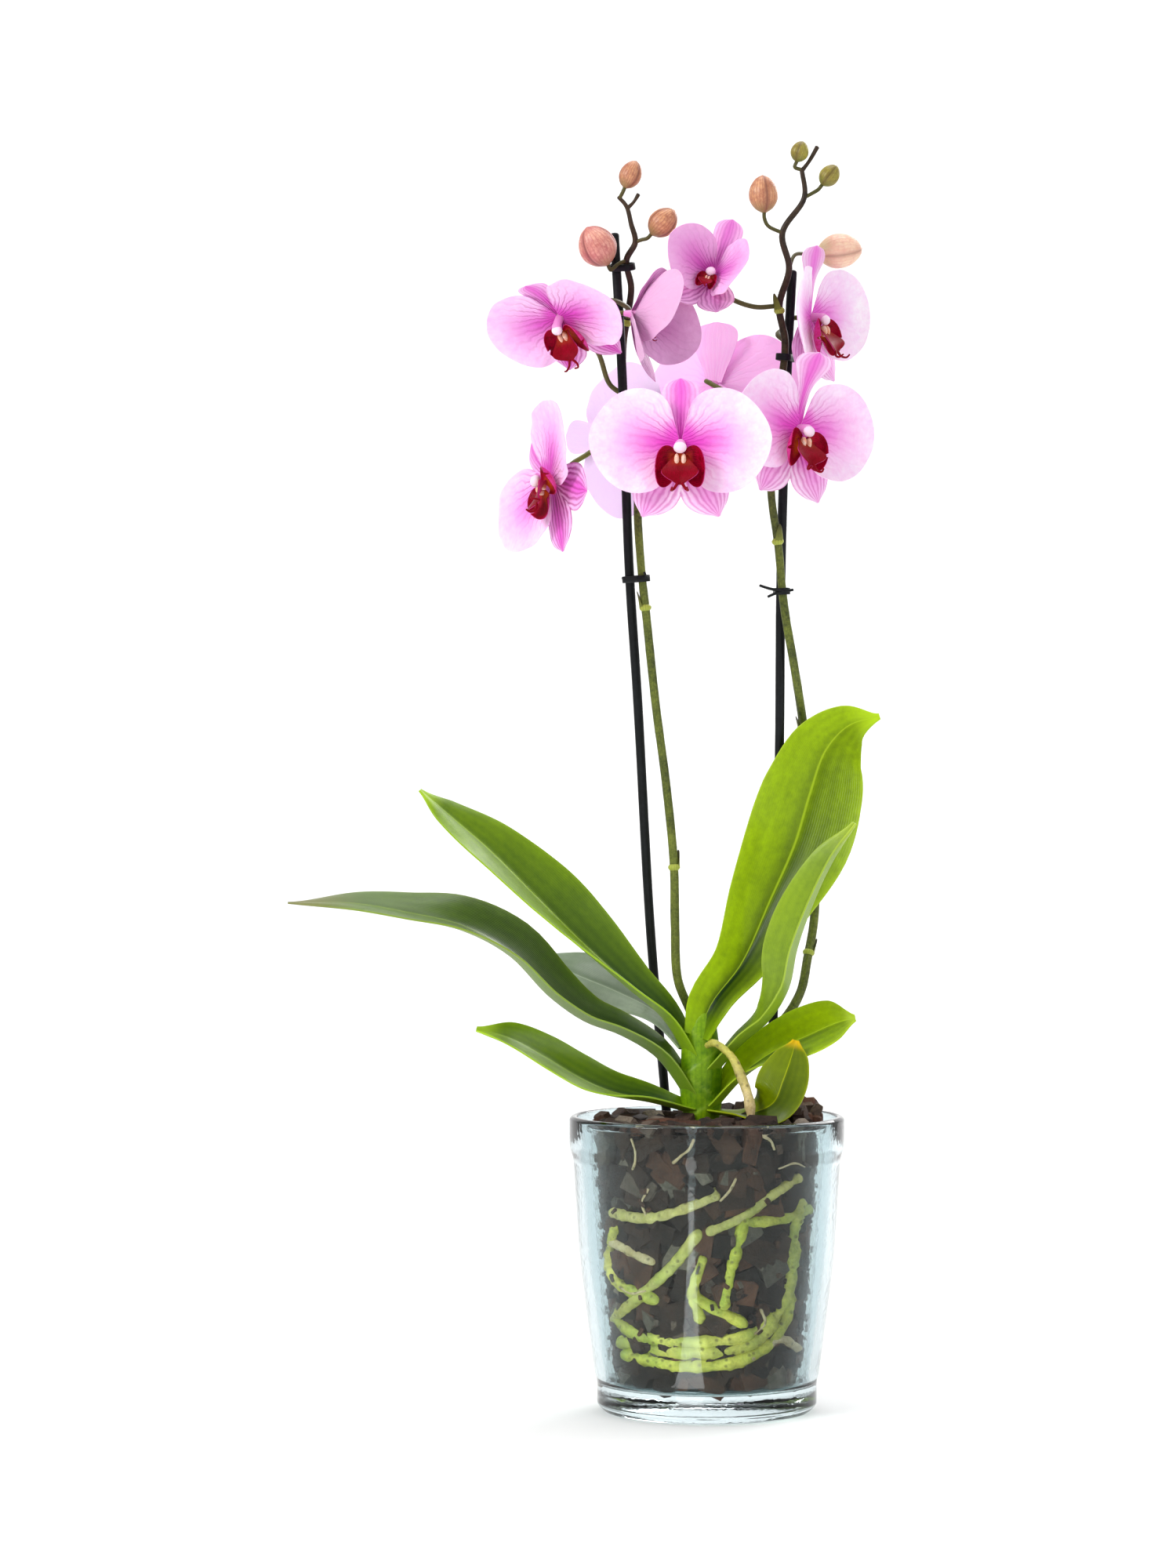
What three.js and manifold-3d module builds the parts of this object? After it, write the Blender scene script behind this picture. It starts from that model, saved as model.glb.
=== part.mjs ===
// A moth orchid in a clear glass pot, in millimetres. +Z is up, the front faces -Y, and the origin is the
// middle of the pot's underside. The plant stands in bark in a clear nursery pot inside the glass one.
import * as THREE from 'three';
import { mergeVertices } from 'three/addons/utils/BufferGeometryUtils.js';
import Module from 'manifold-3d';

const wasm = await Module();
wasm.setup();

// Driving dimensions
const GAP = 0.3; // left between pieces that touch
const POT_HEIGHT = 150;
const RIM_RADIUS = 70.2;
const RIM_BAND = 16; // height of the thicker band under the rim
const FOOT_RADIUS = 56;
const FOOT_HEIGHT = 17;
const GLASS_FLOOR = 14; // thickness of the base
const GLASS_WALL = 4;
// The glass wall swells between the foot and the rim band, [outer radius, height]
const WALL_LOW = [60.8, 45];
const WALL_HIGH = [65.2, 80];
const BAND_FOOT = [68.2, 128];
const GLASS_CELL = 52; // inner radius above the rounded corner of the floor
const EDGE = 1.4; // how far the rim and the foot are rounded over
const GLASS_SIDES = 30;
const LINER_SIDES = 28;
const LINER_WALL = 1;
const LINER_HEIGHT = 130;
const LINER_FOOT = 51; // outer radius at the bottom
const LINER_TOP = 61; // outer radius at the top
const BARK_TOP = 147;
const COLLAR_FOOT = 129; // height above which the bark fills the liner to its wall
const ROOT_LAYER = 7.6; // space for roots between the bark and the liner
const LEAF_THICKNESS = 1.8;
const TEPAL_THICKNESS = 0.8;
const LIP_THICKNESS = 0.9;
const LIP_SIZE = 1.15; // of a fully open bloom's lip, as a share of the drawn one
const OVARY_LENGTH = 6;
const OVARY_RADIUS = 1.7;
const PEDICEL_RADIUS = 1.3;
const STAKE_RADIUS = 2.4;

const TAU = 2 * Math.PI;
const vec = (x, y, z) => new THREE.Vector3(x, y, z);
const radians = THREE.MathUtils.degToRad;
const clamp = THREE.MathUtils.clamp;
const plant = new THREE.Group();

// Pseudo-random numbers from a seed, so that every build is alike
function randomFrom(seed) {
  let state = seed;
  return () => {
    state = (state * 1664525 + 1013904223) % 4294967296;
    return state / 4294967296;
  };
}

// ---------- meshes and solids ----------

function geometryFrom(points, triangles) {
  const geometry = new THREE.BufferGeometry();
  const numbers = points.flatMap((p) => [p.x, p.y, p.z]);
  geometry.setAttribute('position', new THREE.Float32BufferAttribute(numbers, 3));
  geometry.setIndex(triangles.flat());
  return geometry;
}

function signedVolume(position, index) {
  const corner = [vec(0, 0, 0), vec(0, 0, 0), vec(0, 0, 0)];
  let volume = 0;
  for (let i = 0; i < index.length; i += 3) {
    corner.forEach((p, k) => p.fromArray(position, 3 * index[i + k]));
    volume += corner[0].dot(corner[1].clone().cross(corner[2])) / 6;
  }
  return volume;
}

function solid(geometry) {
  const bare = geometry.clone();
  bare.deleteAttribute('normal');
  bare.deleteAttribute('uv');
  const merged = mergeVertices(bare, 1e-4);
  const position = new Float32Array(merged.attributes.position.array);
  const index = Uint32Array.from(merged.index.array);
  if (signedVolume(position, index) < 0) index.reverse();
  return new wasm.Manifold(new wasm.Mesh({ numProp: 3, vertProperties: position, triVerts: index }));
}

const join = (solids) => solids.reduce((whole, piece) => whole.add(piece));

// The largest body of a solid: a cut can leave loose scraps, which are dropped
function largest(whole) {
  return whole.decompose().reduce((best, piece) => (piece.volume() > best.volume() ? piece : best));
}

function geometryOf(whole) {
  const mesh = largest(whole).getMesh();
  const geometry = new THREE.BufferGeometry();
  const position = new Float32Array(mesh.numVert * 3);
  for (let i = 0; i < mesh.numVert; i++) {
    for (let k = 0; k < 3; k++) position[3 * i + k] = mesh.vertProperties[mesh.numProp * i + k];
  }
  geometry.setAttribute('position', new THREE.BufferAttribute(position, 3));
  geometry.setIndex(Array.from(mesh.triVerts));
  return geometry;
}

// Rings of equal count joined in order and capped at both ends
function loft(rings) {
  const count = rings[0].length;
  const triangles = [];
  for (let i = 0; i + 1 < rings.length; i++) {
    for (let j = 0; j < count; j++) {
      const next = (j + 1) % count;
      const [a, b] = [i * count + j, i * count + next];
      triangles.push([a, b, b + count], [a, b + count, a + count]);
    }
  }
  const last = (rings.length - 1) * count;
  for (let j = 1; j + 1 < count; j++) triangles.push([0, j + 1, j], [last, last + j, last + j + 1]);
  return geometryFrom(rings.flat(), triangles);
}

// A round stem through [x, y, z, radius] points, with extra rings between them
function stem(points, sides, between = 1) {
  const curve = new THREE.CatmullRomCurve3(points.map((p) => vec(p[0], p[1], p[2])), false, 'centripetal');
  const steps = (points.length - 1) * (between + 1);
  const rings = [];
  let across = null;
  for (let i = 0; i <= steps; i++) {
    const t = i / steps;
    const along = curve.getTangent(t);
    across ??= Math.abs(along.y) < 0.9 ? vec(0, 1, 0) : vec(1, 0, 0);
    across = across.clone().addScaledVector(along, -across.dot(along)).normalize();
    const over = along.clone().cross(across);
    const place = t * (points.length - 1);
    const before = Math.min(Math.floor(place), points.length - 2);
    const radius = THREE.MathUtils.lerp(points[before][3], points[before + 1][3], place - before);
    const centre = curve.getPoint(t);
    rings.push(Array.from({ length: sides }, (_, j) => {
      const angle = (TAU * j) / sides;
      return centre.clone().addScaledVector(across, radius * Math.cos(angle))
        .addScaledVector(over, radius * Math.sin(angle));
    }));
  }
  return loft(rings);
}

// A thin blade: the surface(t, v) thickened both ways, with both faces split alike
function blade(rows, columns, surface, thickness) {
  const step = 1e-3;
  const faces = [[], []];
  for (const t of rows) {
    for (const v of columns) {
      const alongBlade = surface(t + step, v).sub(surface(t - step, v));
      const acrossBlade = surface(t, v + step).sub(surface(t, v - step));
      const normal = alongBlade.cross(acrossBlade).normalize();
      const middle = surface(t, v);
      faces[0].push(middle.clone().addScaledVector(normal, thickness / 2));
      faces[1].push(middle.clone().addScaledVector(normal, -thickness / 2));
    }
  }
  const across = columns.length;
  const size = faces[0].length;
  const triangles = [];
  const wall = (a, b) => triangles.push([b, a, a + size], [b, a + size, b + size]);
  for (let i = 0; i + 1 < rows.length; i++) {
    for (let j = 0; j + 1 < across; j++) {
      const a = i * across + j;
      const [b, c, d] = [a + 1, a + across, a + across + 1];
      triangles.push([a, c, d], [a, d, b], [a + size, d + size, c + size], [a + size, b + size, d + size]);
    }
    wall(i * across, (i + 1) * across);
    wall((i + 2) * across - 1, (i + 1) * across - 1);
  }
  for (let j = 0; j + 1 < across; j++) {
    wall(j + 1, j);
    wall((rows.length - 1) * across + j, (rows.length - 1) * across + j + 1);
  }
  return geometryFrom(faces.flat(), triangles);
}

const FINISHES = {
  glass: { color: 0xe8f2f0, roughness: 0.03, metalness: 0, transparent: true, opacity: 0.3 },
  liner: { color: 0xdfe6e4, roughness: 0.25, metalness: 0, transparent: true, opacity: 0.4 },
  bark: { color: 0x3a2418, roughness: 0.95, metalness: 0 },
  root: { color: 0xa9b43c, roughness: 0.7, metalness: 0 },
  leaf: { color: 0x5f9011, roughness: 0.4, metalness: 0 },
  stem: { color: 0x5d6b2a, roughness: 0.5, metalness: 0 },
  stake: { color: 0x14171a, roughness: 0.45, metalness: 0 },
  petal: { color: 0xf3c6ef, roughness: 0.55, metalness: 0 },
  lip: { color: 0x9c0c3c, roughness: 0.5, metalness: 0 },
  bud: { color: 0xd79a80, roughness: 0.55, metalness: 0 },
};

function addMesh(name, geometry, finish, parent = plant) {
  const mesh = new THREE.Mesh(geometry, new THREE.MeshStandardMaterial(FINISHES[finish]));
  mesh.name = name;
  parent.add(mesh);
  return mesh;
}

// ---------- pots ----------

// A solid turned about the pot's axis from [radius, height] points
function turned(profile, sides) {
  const geometry = new THREE.LatheGeometry(profile.map(([r, z]) => new THREE.Vector2(r, z)), sides);
  return solid(geometry.rotateX(Math.PI / 2));
}

function glassPot() {
  const bevel = 2.5 * EDGE;
  return turned([
    [0, 0], [FOOT_RADIUS - bevel, 0], [FOOT_RADIUS, bevel], [FOOT_RADIUS, FOOT_HEIGHT - 2],
    [FOOT_RADIUS + 1.2, FOOT_HEIGHT + 2], WALL_LOW, WALL_HIGH, BAND_FOOT, [RIM_RADIUS, POT_HEIGHT - RIM_BAND],
    [RIM_RADIUS, POT_HEIGHT - EDGE], [RIM_RADIUS - EDGE, POT_HEIGHT], [RIM_RADIUS - GLASS_WALL, POT_HEIGHT],
    [WALL_HIGH[0] - GLASS_WALL - 0.5, WALL_HIGH[1]], [WALL_LOW[0] - GLASS_WALL - 1, WALL_LOW[1]],
    [GLASS_CELL, GLASS_FLOOR + 3], [GLASS_CELL - 2, GLASS_FLOOR], [0, GLASS_FLOOR],
  ], GLASS_SIDES);
}

const LINER_BASE = GLASS_FLOOR + GAP;
// Inner radius of the nursery pot at a height
function linerRadius(z) {
  return LINER_FOOT - LINER_WALL + ((LINER_TOP - LINER_FOOT) * (z - LINER_BASE)) / LINER_HEIGHT;
}

const LINER_LIP = { wide: 1.6, high: 3 }; // turned outwards at the top
const LINER_FILLET = 5; // where its floor meets its wall
const DRAINS = { count: 4, radius: 4, reach: 28 };

function nurseryPot() {
  const top = LINER_BASE + LINER_HEIGHT;
  const lipFoot = top - LINER_LIP.high;
  const lipRadius = LINER_TOP + LINER_LIP.wide;
  let pot = turned([
    [0, LINER_BASE], [LINER_FOOT - LINER_FILLET, LINER_BASE], [LINER_FOOT, LINER_BASE + LINER_FILLET],
    [LINER_TOP - 0.3, lipFoot], [lipRadius, lipFoot], [lipRadius, top], [linerRadius(top), top],
    [LINER_FOOT - LINER_WALL, LINER_BASE + LINER_FILLET + 0.4],
    [LINER_FOOT - LINER_FILLET - 0.4, LINER_BASE + LINER_WALL], [0, LINER_BASE + LINER_WALL],
  ], LINER_SIDES);
  for (let i = 0; i < DRAINS.count; i++) {
    const angle = (TAU * i) / DRAINS.count;
    const hole = new THREE.CylinderGeometry(DRAINS.radius, DRAINS.radius, 6 * LINER_WALL, 5).rotateX(Math.PI / 2);
    hole.translate(DRAINS.reach * Math.cos(angle), DRAINS.reach * Math.sin(angle), LINER_BASE);
    pot = pot.subtract(solid(hole));
  }
  return pot;
}

// ---------- what stands in the bark ----------

// Stakes, [x, y, z, radius], from their buried ends to their tops
const STAKE_LEFT = [
  [-15, 43, 70], [-20, 36, 150], [-28, 28, 239], [-35, 17, 361], [-39.5, 10, 430], [-43, 5, 525], [-47, 3, 599.5],
].map((p) => [...p, STAKE_RADIUS]);
const STAKE_RIGHT = [
  [32.5, 31, 70], [34, 28, 150], [38, 22, 331], [38.5, 17, 418], [39.5, 13, 469], [42, 9, 543], [44, 7, 581],
].map((p) => [...p, STAKE_RADIUS]);

// The crown: a short stem wrapped in old leaf sheaths, [x, y, z, radius]
const CROWN = [
  [-3, 0, 142, 6.4], [-3, 0, 152, 7.8], [-3, 0, 168, 8.6], [-3, 0.5, 186, 7.8], [-3, 1, 200, 5.6], [-3, 1, 208, 3],
];
const CROWN_SPREAD = 1.25; // it is wider from left to right, the way the leaves part

// The crown, made thicker by extra and set deeper by drop
function crownSolid(extra = 0, drop = 0) {
  const [foot] = CROWN;
  const route = drop ? [[foot[0], foot[1], foot[2] - drop, foot[3]], ...CROWN] : CROWN;
  const round = stem(route.map((p) => [0, p[1], p[2], p[3] + extra]), 10, 0);
  return solid(round.scale(CROWN_SPREAD, 1, 1).translate(foot[0], 0, 0));
}

// What grows from the crown has its foot cut to the crown's shape
function seatedOnCrown(whole) {
  return whole.subtract(crownSolid(GAP));
}

const AERIAL_ROOT = [
  [-1, -5, 185.5, 1.5], [4, -13.5, 187.5, 1.8], [12, -17, 181, 2.1], [16, -20.5, 173, 2.3], [20, -26, 162, 2.4],
  [21.5, -29.5, 151, 2.4], [21.5, -29, 140, 2],
];

// Roots that show at the wall, as [x, z] points from the upper end; side is -1 at the front, 1 at the back.
// A fed root comes out of the bark from the root stock; the others branch off a root that they start on.
const WALL_ROOTS = [
  { side: -1, radius: 3.4, fed: 118, points: [[45, 108], [41.3, 95], [39, 67], [31, 51], [20, 40], [-10, 36], [-40, 38]] },
  { side: -1, radius: 3, points: [[39, 62], [35, 47], [18, 33], [-12, 29], [-38, 32]] },
  { side: -1, radius: 3, fed: 104, points: [[-46, 94], [-48, 76], [-43, 67], [-27, 62]] },
  { side: -1, radius: 2.5, points: [[-47, 88], [-29, 81]] },
  { side: -1, radius: 2.9, fed: 113, points: [[-6, 95], [-18, 79], [-37, 59], [-45, 50]] },
  { side: -1, radius: 2.8, fed: 92, points: [[-3.5, 82], [-8, 66], [-5, 54]] },
  { side: -1, radius: 2.7, points: [[-7, 63], [15, 51]] },
  { side: -1, radius: 3, points: [[17, 103], [12, 84], [7, 61]] },
  { side: -1, radius: 2.6, points: [[17, 101], [34, 101], [49, 104]] },
  { side: -1, radius: 2.6, fed: 130, points: [[3, 114], [-17, 106], [-32, 102], [-46, 103]] },
  { side: -1, radius: 2.4, fed: 134, points: [[44, 121], [34, 116], [15, 103], [1, 97]] },
  { side: -1, radius: 2.2, points: [[20, 33], [34, 41], [43, 35]] },
  { side: -1, radius: 2.6, points: [[30, 52], [17, 44], [-8, 41], [-34, 43], [-44, 49]] },
  { side: 1, radius: 3, fed: 126, points: [[-40, 120], [-30, 96], [-34, 70], [-20, 48], [10, 38], [36, 40]] },
  { side: 1, radius: 2.8, fed: 117, points: [[8, 112], [14, 90], [6, 62]] },
  { side: 1, radius: 2.8, fed: 108, points: [[44, 104], [47, 84], [42, 54]] },
];

// A root's place on the wall, sunk so that its side just clears the liner
function onWall([x, z], side, radius) {
  const reach = linerRadius(z) - radius - 2 * GAP;
  const across = clamp(x, -reach * 0.995, reach * 0.995);
  return vec(across, side * Math.sqrt(reach * reach - across * across), z);
}

// The stock under the crown, its wall roots and the buried stretches that feed them, made thicker by extra
function rootNetwork(extra) {
  const grown = (points, sides) => solid(stem(points.map(([x, y, z, r]) => [x, y, z, r + extra]), sides, 0));
  const pieces = [grown([[-3, 0, 141.7 + extra, 6], [-3, 0, 128, 6], [-3, 0, 86, 4]], 6)];
  for (const { side, radius, fed, points } of WALL_ROOTS) {
    const wall = points.map((p) => onWall(p, side, radius));
    pieces.push(grown(wall.map((p) => [p.x, p.y, p.z, radius]), radius >= 3 ? 5 : 4));
    if (!fed) continue;
    const [start] = wall;
    const halfway = [start.x * 0.6, start.y * 0.6, (start.z + fed) / 2 + 2, radius * 0.9];
    pieces.push(grown([[-3, 0, fed, radius * 0.9], halfway, [start.x, start.y, start.z, radius * 0.9]], 4));
  }
  return join(pieces);
}

const CHIPS = { count: 13, seed: 41, nearest: 24, spread: 25, size: 4.5, sizeSpread: 3 };
// Bark heaped against the right side, higher than the pot's rim
const HEAP = { x: 43, y: 4, z: 146, wide: 15, deep: 14, high: 9, chips: 4 };

// Bark chips on the surface, clear of the crown and the leaves that droop low
function barkChips() {
  const random = randomFrom(CHIPS.seed);
  const flake = (x, y, z) => {
    const size = CHIPS.size + CHIPS.sizeSpread * random();
    const chip = new THREE.OctahedronGeometry(size).scale(1.25, 0.9, 0.7);
    return solid(chip.rotateX(random() * 0.8).rotateZ(random() * TAU).translate(x, y, z));
  };
  const scattered = Array.from({ length: CHIPS.count }, (_, i) => {
    const angle = TAU * ((i + 0.6 * random()) / CHIPS.count);
    const reach = CHIPS.nearest + CHIPS.spread * random();
    return flake(reach * Math.cos(angle), reach * Math.sin(angle), BARK_TOP - 1.5);
  });
  const heap = new THREE.SphereGeometry(1, 9, 5).rotateX(Math.PI / 2).scale(HEAP.wide, HEAP.deep, HEAP.high);
  const onHeap = Array.from({ length: HEAP.chips }, (_, i) => {
    const angle = (TAU * i) / HEAP.chips;
    return flake(HEAP.x + 0.5 * HEAP.wide * Math.cos(angle), HEAP.y + 0.5 * HEAP.deep * Math.sin(angle),
      HEAP.z + 0.75 * HEAP.high);
  });
  return [...scattered, solid(heap.translate(HEAP.x, HEAP.y, HEAP.z)), ...onHeap];
}

const BARK_SIDES = 24;

// The bark stands back from the liner where roots lie between them, and meets it in a collar at the top
function barkMedium() {
  const foot = LINER_BASE + LINER_WALL + GAP;
  const waist = (z) => linerRadius(z) - ROOT_LAYER;
  const edge = (z) => linerRadius(z) - 2 * GAP;
  const heap = turned([
    [0, foot], [waist(foot) - 4, foot], [waist(foot), foot + 4], [waist(COLLAR_FOOT - 4), COLLAR_FOOT - 4],
    [edge(COLLAR_FOOT), COLLAR_FOOT], [edge(BARK_TOP - 6), BARK_TOP - 6], [edge(BARK_TOP - 6) - 5, BARK_TOP - 1],
    [0, BARK_TOP],
  ], BARK_SIDES);
  const clear = (points, sides) => solid(stem(points.map((p) => [p[0], p[1], p[2], p[3] + GAP]), sides, 0));
  const longer = (points, drop) => [[points[0][0], points[0][1], points[0][2] - drop, points[0][3]], ...points];
  const [x, y, z, radius] = AERIAL_ROOT[AERIAL_ROOT.length - 1];
  const holes = [
    clear(longer(STAKE_LEFT.slice(0, 3), GAP), 8), clear(longer(STAKE_RIGHT.slice(0, 3), GAP), 8),
    crownSolid(GAP, GAP), clear([...AERIAL_ROOT, [x, y, z - GAP, radius]], 6), rootNetwork(GAP),
  ];
  return holes.reduce((bark, hole) => bark.subtract(hole), join([heap, ...barkChips()]));
}

// ---------- leaves ----------

// spine holds [x, y, z, half width] from the crown to the tip; side holds the widthwise direction at the
// foot, the middle and the tip; fold is how far both halves rise from the midrib, in degrees
function leafSurface({ spine, side, fold }) {
  const curve = new THREE.CatmullRomCurve3(spine.map((p) => vec(p[0], p[1], p[2])), false, 'centripetal');
  return (rawT, v) => {
    const t = clamp(rawT, 0, 1);
    const along = curve.getTangent(t);
    const half = t < 0.5 ? 0 : 1;
    const across = vec(...side[half]).lerp(vec(...side[half + 1]), 2 * t - half);
    across.addScaledVector(along, -across.dot(along)).normalize();
    const up = across.clone().cross(along);
    const place = t * (spine.length - 1);
    const before = Math.min(Math.floor(place), spine.length - 2);
    const width = THREE.MathUtils.lerp(spine[before][3], spine[before + 1][3], place - before);
    const rise = radians(THREE.MathUtils.lerp(fold[0], fold[1], t));
    const lift = Math.sqrt(v * v + 0.02) - Math.sqrt(0.02);
    return curve.getPoint(t).addScaledVector(across, v * width * Math.cos(rise))
      .addScaledVector(up, lift * width * Math.sin(rise));
  };
}

const LEAVES = {
  leaf_upright: {
    spine: [[-4, -3, 190, 9], [2, -2.5, 206, 13.5], [18, 3, 227, 17], [33, 10, 259, 25], [46, 15, 288, 30],
      [54, 19, 314, 28], [62, 22, 336, 21], [74, 25, 349, 12], [90, 27, 354, 1.5]],
    side: [[0.95, -0.3, 0], [1, 0, -0.3], [0.6, 0.1, -0.8]], fold: [40, 12],
  },
  leaf_folded: {
    spine: [[4, -2, 172, 8], [17, -6.5, 187, 9.5], [31, -14, 200, 11], [40, -20, 216, 15], [44, -24, 236, 18],
      [51, -28, 257, 17], [62, -31, 281, 11], [74, -33, 299, 1.5]],
    side: [[0.1, -1, 0.2], [0.45, -0.9, 0], [0.6, -0.8, 0.2]], fold: [35, 48],
  },
  leaf_right: {
    spine: [[4, -1, 154, 10], [19, -4, 171, 14], [35, -8, 183, 17], [52, -12, 191, 19], [65, -14, 197, 15],
      [75, -15, 200, 2.5]],
    side: [[0, -0.95, -0.3], [0.1, -0.75, -0.6], [0.1, -0.75, -0.6]], fold: [36, 8],
  },
  leaf_young: {
    spine: [[2, -5.5, 152, 4.5], [20, -17, 151.5, 7], [33, -25, 158, 12], [38, -28.5, 170, 13.5], [42, -29, 182, 9],
      [44, -28, 190, 1.5]],
    side: [[-0.3, -0.8, 0], [0.9, -0.3, -0.2], [1, 0, -0.2]], fold: [20, 14],
  },
  leaf_upper_left: {
    spine: [[-8, 0, 177, 9], [-22, -1, 200, 13], [-40, -3, 216, 18], [-62, -5, 236, 24], [-86, -7, 260, 26],
      [-112, -8, 286, 20], [-134, -8, 305, 10], [-146, -8, 316, 1.5]],
    side: [[0, 0.95, 0.3], [0.1, 0.8, 0.6], [0.2, 0.75, 0.6]], fold: [44, 8],
  },
  leaf_far_left: {
    spine: [[-9, -1, 158, 9], [-25, -3, 180, 12.5], [-44, -4, 192, 15], [-62, -6, 199, 18], [-80, -9, 212, 22],
      [-100, -12, 233, 24], [-125, -16, 247, 23], [-150, -19, 253, 19], [-178, -22, 258, 13],
      [-212, -24, 259, 1.5]],
    side: [[0, 0.97, 0.2], [0.1, 0.93, 0.35], [0, 0.95, 0.3]], fold: [44, 10],
  },
  leaf_lower_left: {
    spine: [[-8, -2, 152, 7], [-29, -7, 158, 10.5], [-48, -11, 162, 14], [-64, -15, 169, 17], [-82, -19, 180, 17],
      [-100, -22, 190, 12], [-117, -24, 195, 1.5]],
    side: [[0, 1, 0.25], [0.1, 0.9, 0.45], [0.1, 0.9, 0.45]], fold: [36, 10],
  },
  leaf_back: {
    spine: [[-11.5, 4.5, 184, 4], [-24, 17, 200, 7.5], [-45, 31, 211, 13], [-68, 45, 220, 13], [-90, 55, 230, 1.5]],
    side: [[0.3, 0.7, 0.6], [0.3, 0.5, 0.8], [0.2, 0.5, 0.8]], fold: [22, 10],
  },
};

const LEAF_COLUMNS = [-1, -0.55, 0, 0.55, 1];

function leafSolid(leaf) {
  const steps = Math.min(leaf.spine.length + 2, 11);
  const rows = Array.from({ length: steps + 1 }, (_, i) => Math.sin((i / steps) * 1.35) / Math.sin(1.35));
  const whole = solid(blade(rows, LEAF_COLUMNS, leafSurface(leaf), LEAF_THICKNESS));
  return seatedOnCrown(whole);
}

// ---------- blooms ----------

// The tepals' outlines, as [share of length, half width] from the foot to the tip, at full size
const PETAL_OUTLINE = [[0, 3], [0.14, 20], [0.46, 26.6], [0.84, 17.5], [1, 4]];
const DORSAL_OUTLINE = [[0, 3], [0.45, 7.4], [0.85, 9.2], [1, 2]];
const SPOON_OUTLINE = [[0, 3], [0.5, 4.4], [0.83, 11.2], [1, 2]];
const LATERAL_OUTLINE = [[0, 3], [0.35, 10.5], [0.72, 11.8], [1, 1.5]];
const PETAL_LENGTH = 45;
const DORSAL_LENGTH = 32;
const LATERAL_LENGTH = 40;
const PETAL_ANGLE = 86; // from the dorsal sepal, in degrees
const LATERAL_ANGLE = 152;

// A tepal that leaves the middle at an angle, lifts forward and then bends by curl along its length
function tepal({ angle, length, outline, lift, curl, depth, hollow = 0.12, width = 1 }) {
  const turn = radians(angle);
  const out = vec(Math.sin(turn), Math.cos(turn), 0);
  const across = vec(Math.cos(turn), -Math.sin(turn), 0);
  const [start, bend] = [radians(lift), radians(curl || 1)];
  const surface = (t, v) => {
    const reach = (length * (Math.sin(start + bend * t) - Math.sin(start))) / bend;
    const rise = (length * (Math.cos(start) - Math.cos(start + bend * t))) / bend;
    const at = clamp(t, 0, 1);
    const next = Math.max(1, outline.findIndex((p) => p[0] >= at));
    const [low, high] = [outline[next - 1], outline[next]];
    const half = width * THREE.MathUtils.mapLinear(at, low[0], high[0], low[1], high[1]);
    const slope = start + bend * t;
    const lean = hollow * v * v * half;
    return vec(0, 0, depth).addScaledVector(out, 1 + reach - lean * Math.sin(slope))
      .addScaledVector(across, v * half).add(vec(0, 0, rise + lean * Math.cos(slope)));
  };
  const columns = outline === PETAL_OUTLINE ? [-1, -0.45, 0.45, 1] : [-1, 0, 1];
  return solid(blade(outline.map((p) => p[0]), columns, surface, TEPAL_THICKNESS));
}

// Two petals in front of three sepals, with the column in the middle and the ovary behind
function tepals({ cup = 4, curl = 6, width = 1, spoon = false, dorsalLength = DORSAL_LENGTH, dorsalCurl = -8,
  dorsalWidth = 1 }) {
  const behind = 0.6 * cup - 6;
  const sepal = { depth: -1.4, hollow: -0.05 };
  const dorsal = { length: dorsalLength, outline: spoon ? SPOON_OUTLINE : DORSAL_OUTLINE, width: dorsalWidth };
  const whorl = [
    { angle: 0, ...dorsal, lift: behind, curl: dorsalCurl, ...sepal },
    { angle: PETAL_ANGLE, length: PETAL_LENGTH, outline: PETAL_OUTLINE, lift: cup, curl, depth: 0.4, width },
    { angle: -PETAL_ANGLE, length: PETAL_LENGTH, outline: PETAL_OUTLINE, lift: cup, curl, depth: 0.4, width },
    { angle: LATERAL_ANGLE, length: LATERAL_LENGTH, outline: LATERAL_OUTLINE, lift: behind, curl, ...sepal },
    { angle: -LATERAL_ANGLE, length: LATERAL_LENGTH, outline: LATERAL_OUTLINE, lift: behind, curl, ...sepal },
  ];
  const column = stem([[0, 0, -OVARY_LENGTH, OVARY_RADIUS], [0, 0, -1, 2.6], [0, -0.3, 5, 2.5],
    [0, -1.2, 8.2, 3.2], [0, -1.8, 10.2, 1.8]], 6, 0);
  return join([solid(column), ...whorl.map(tepal)]);
}

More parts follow.
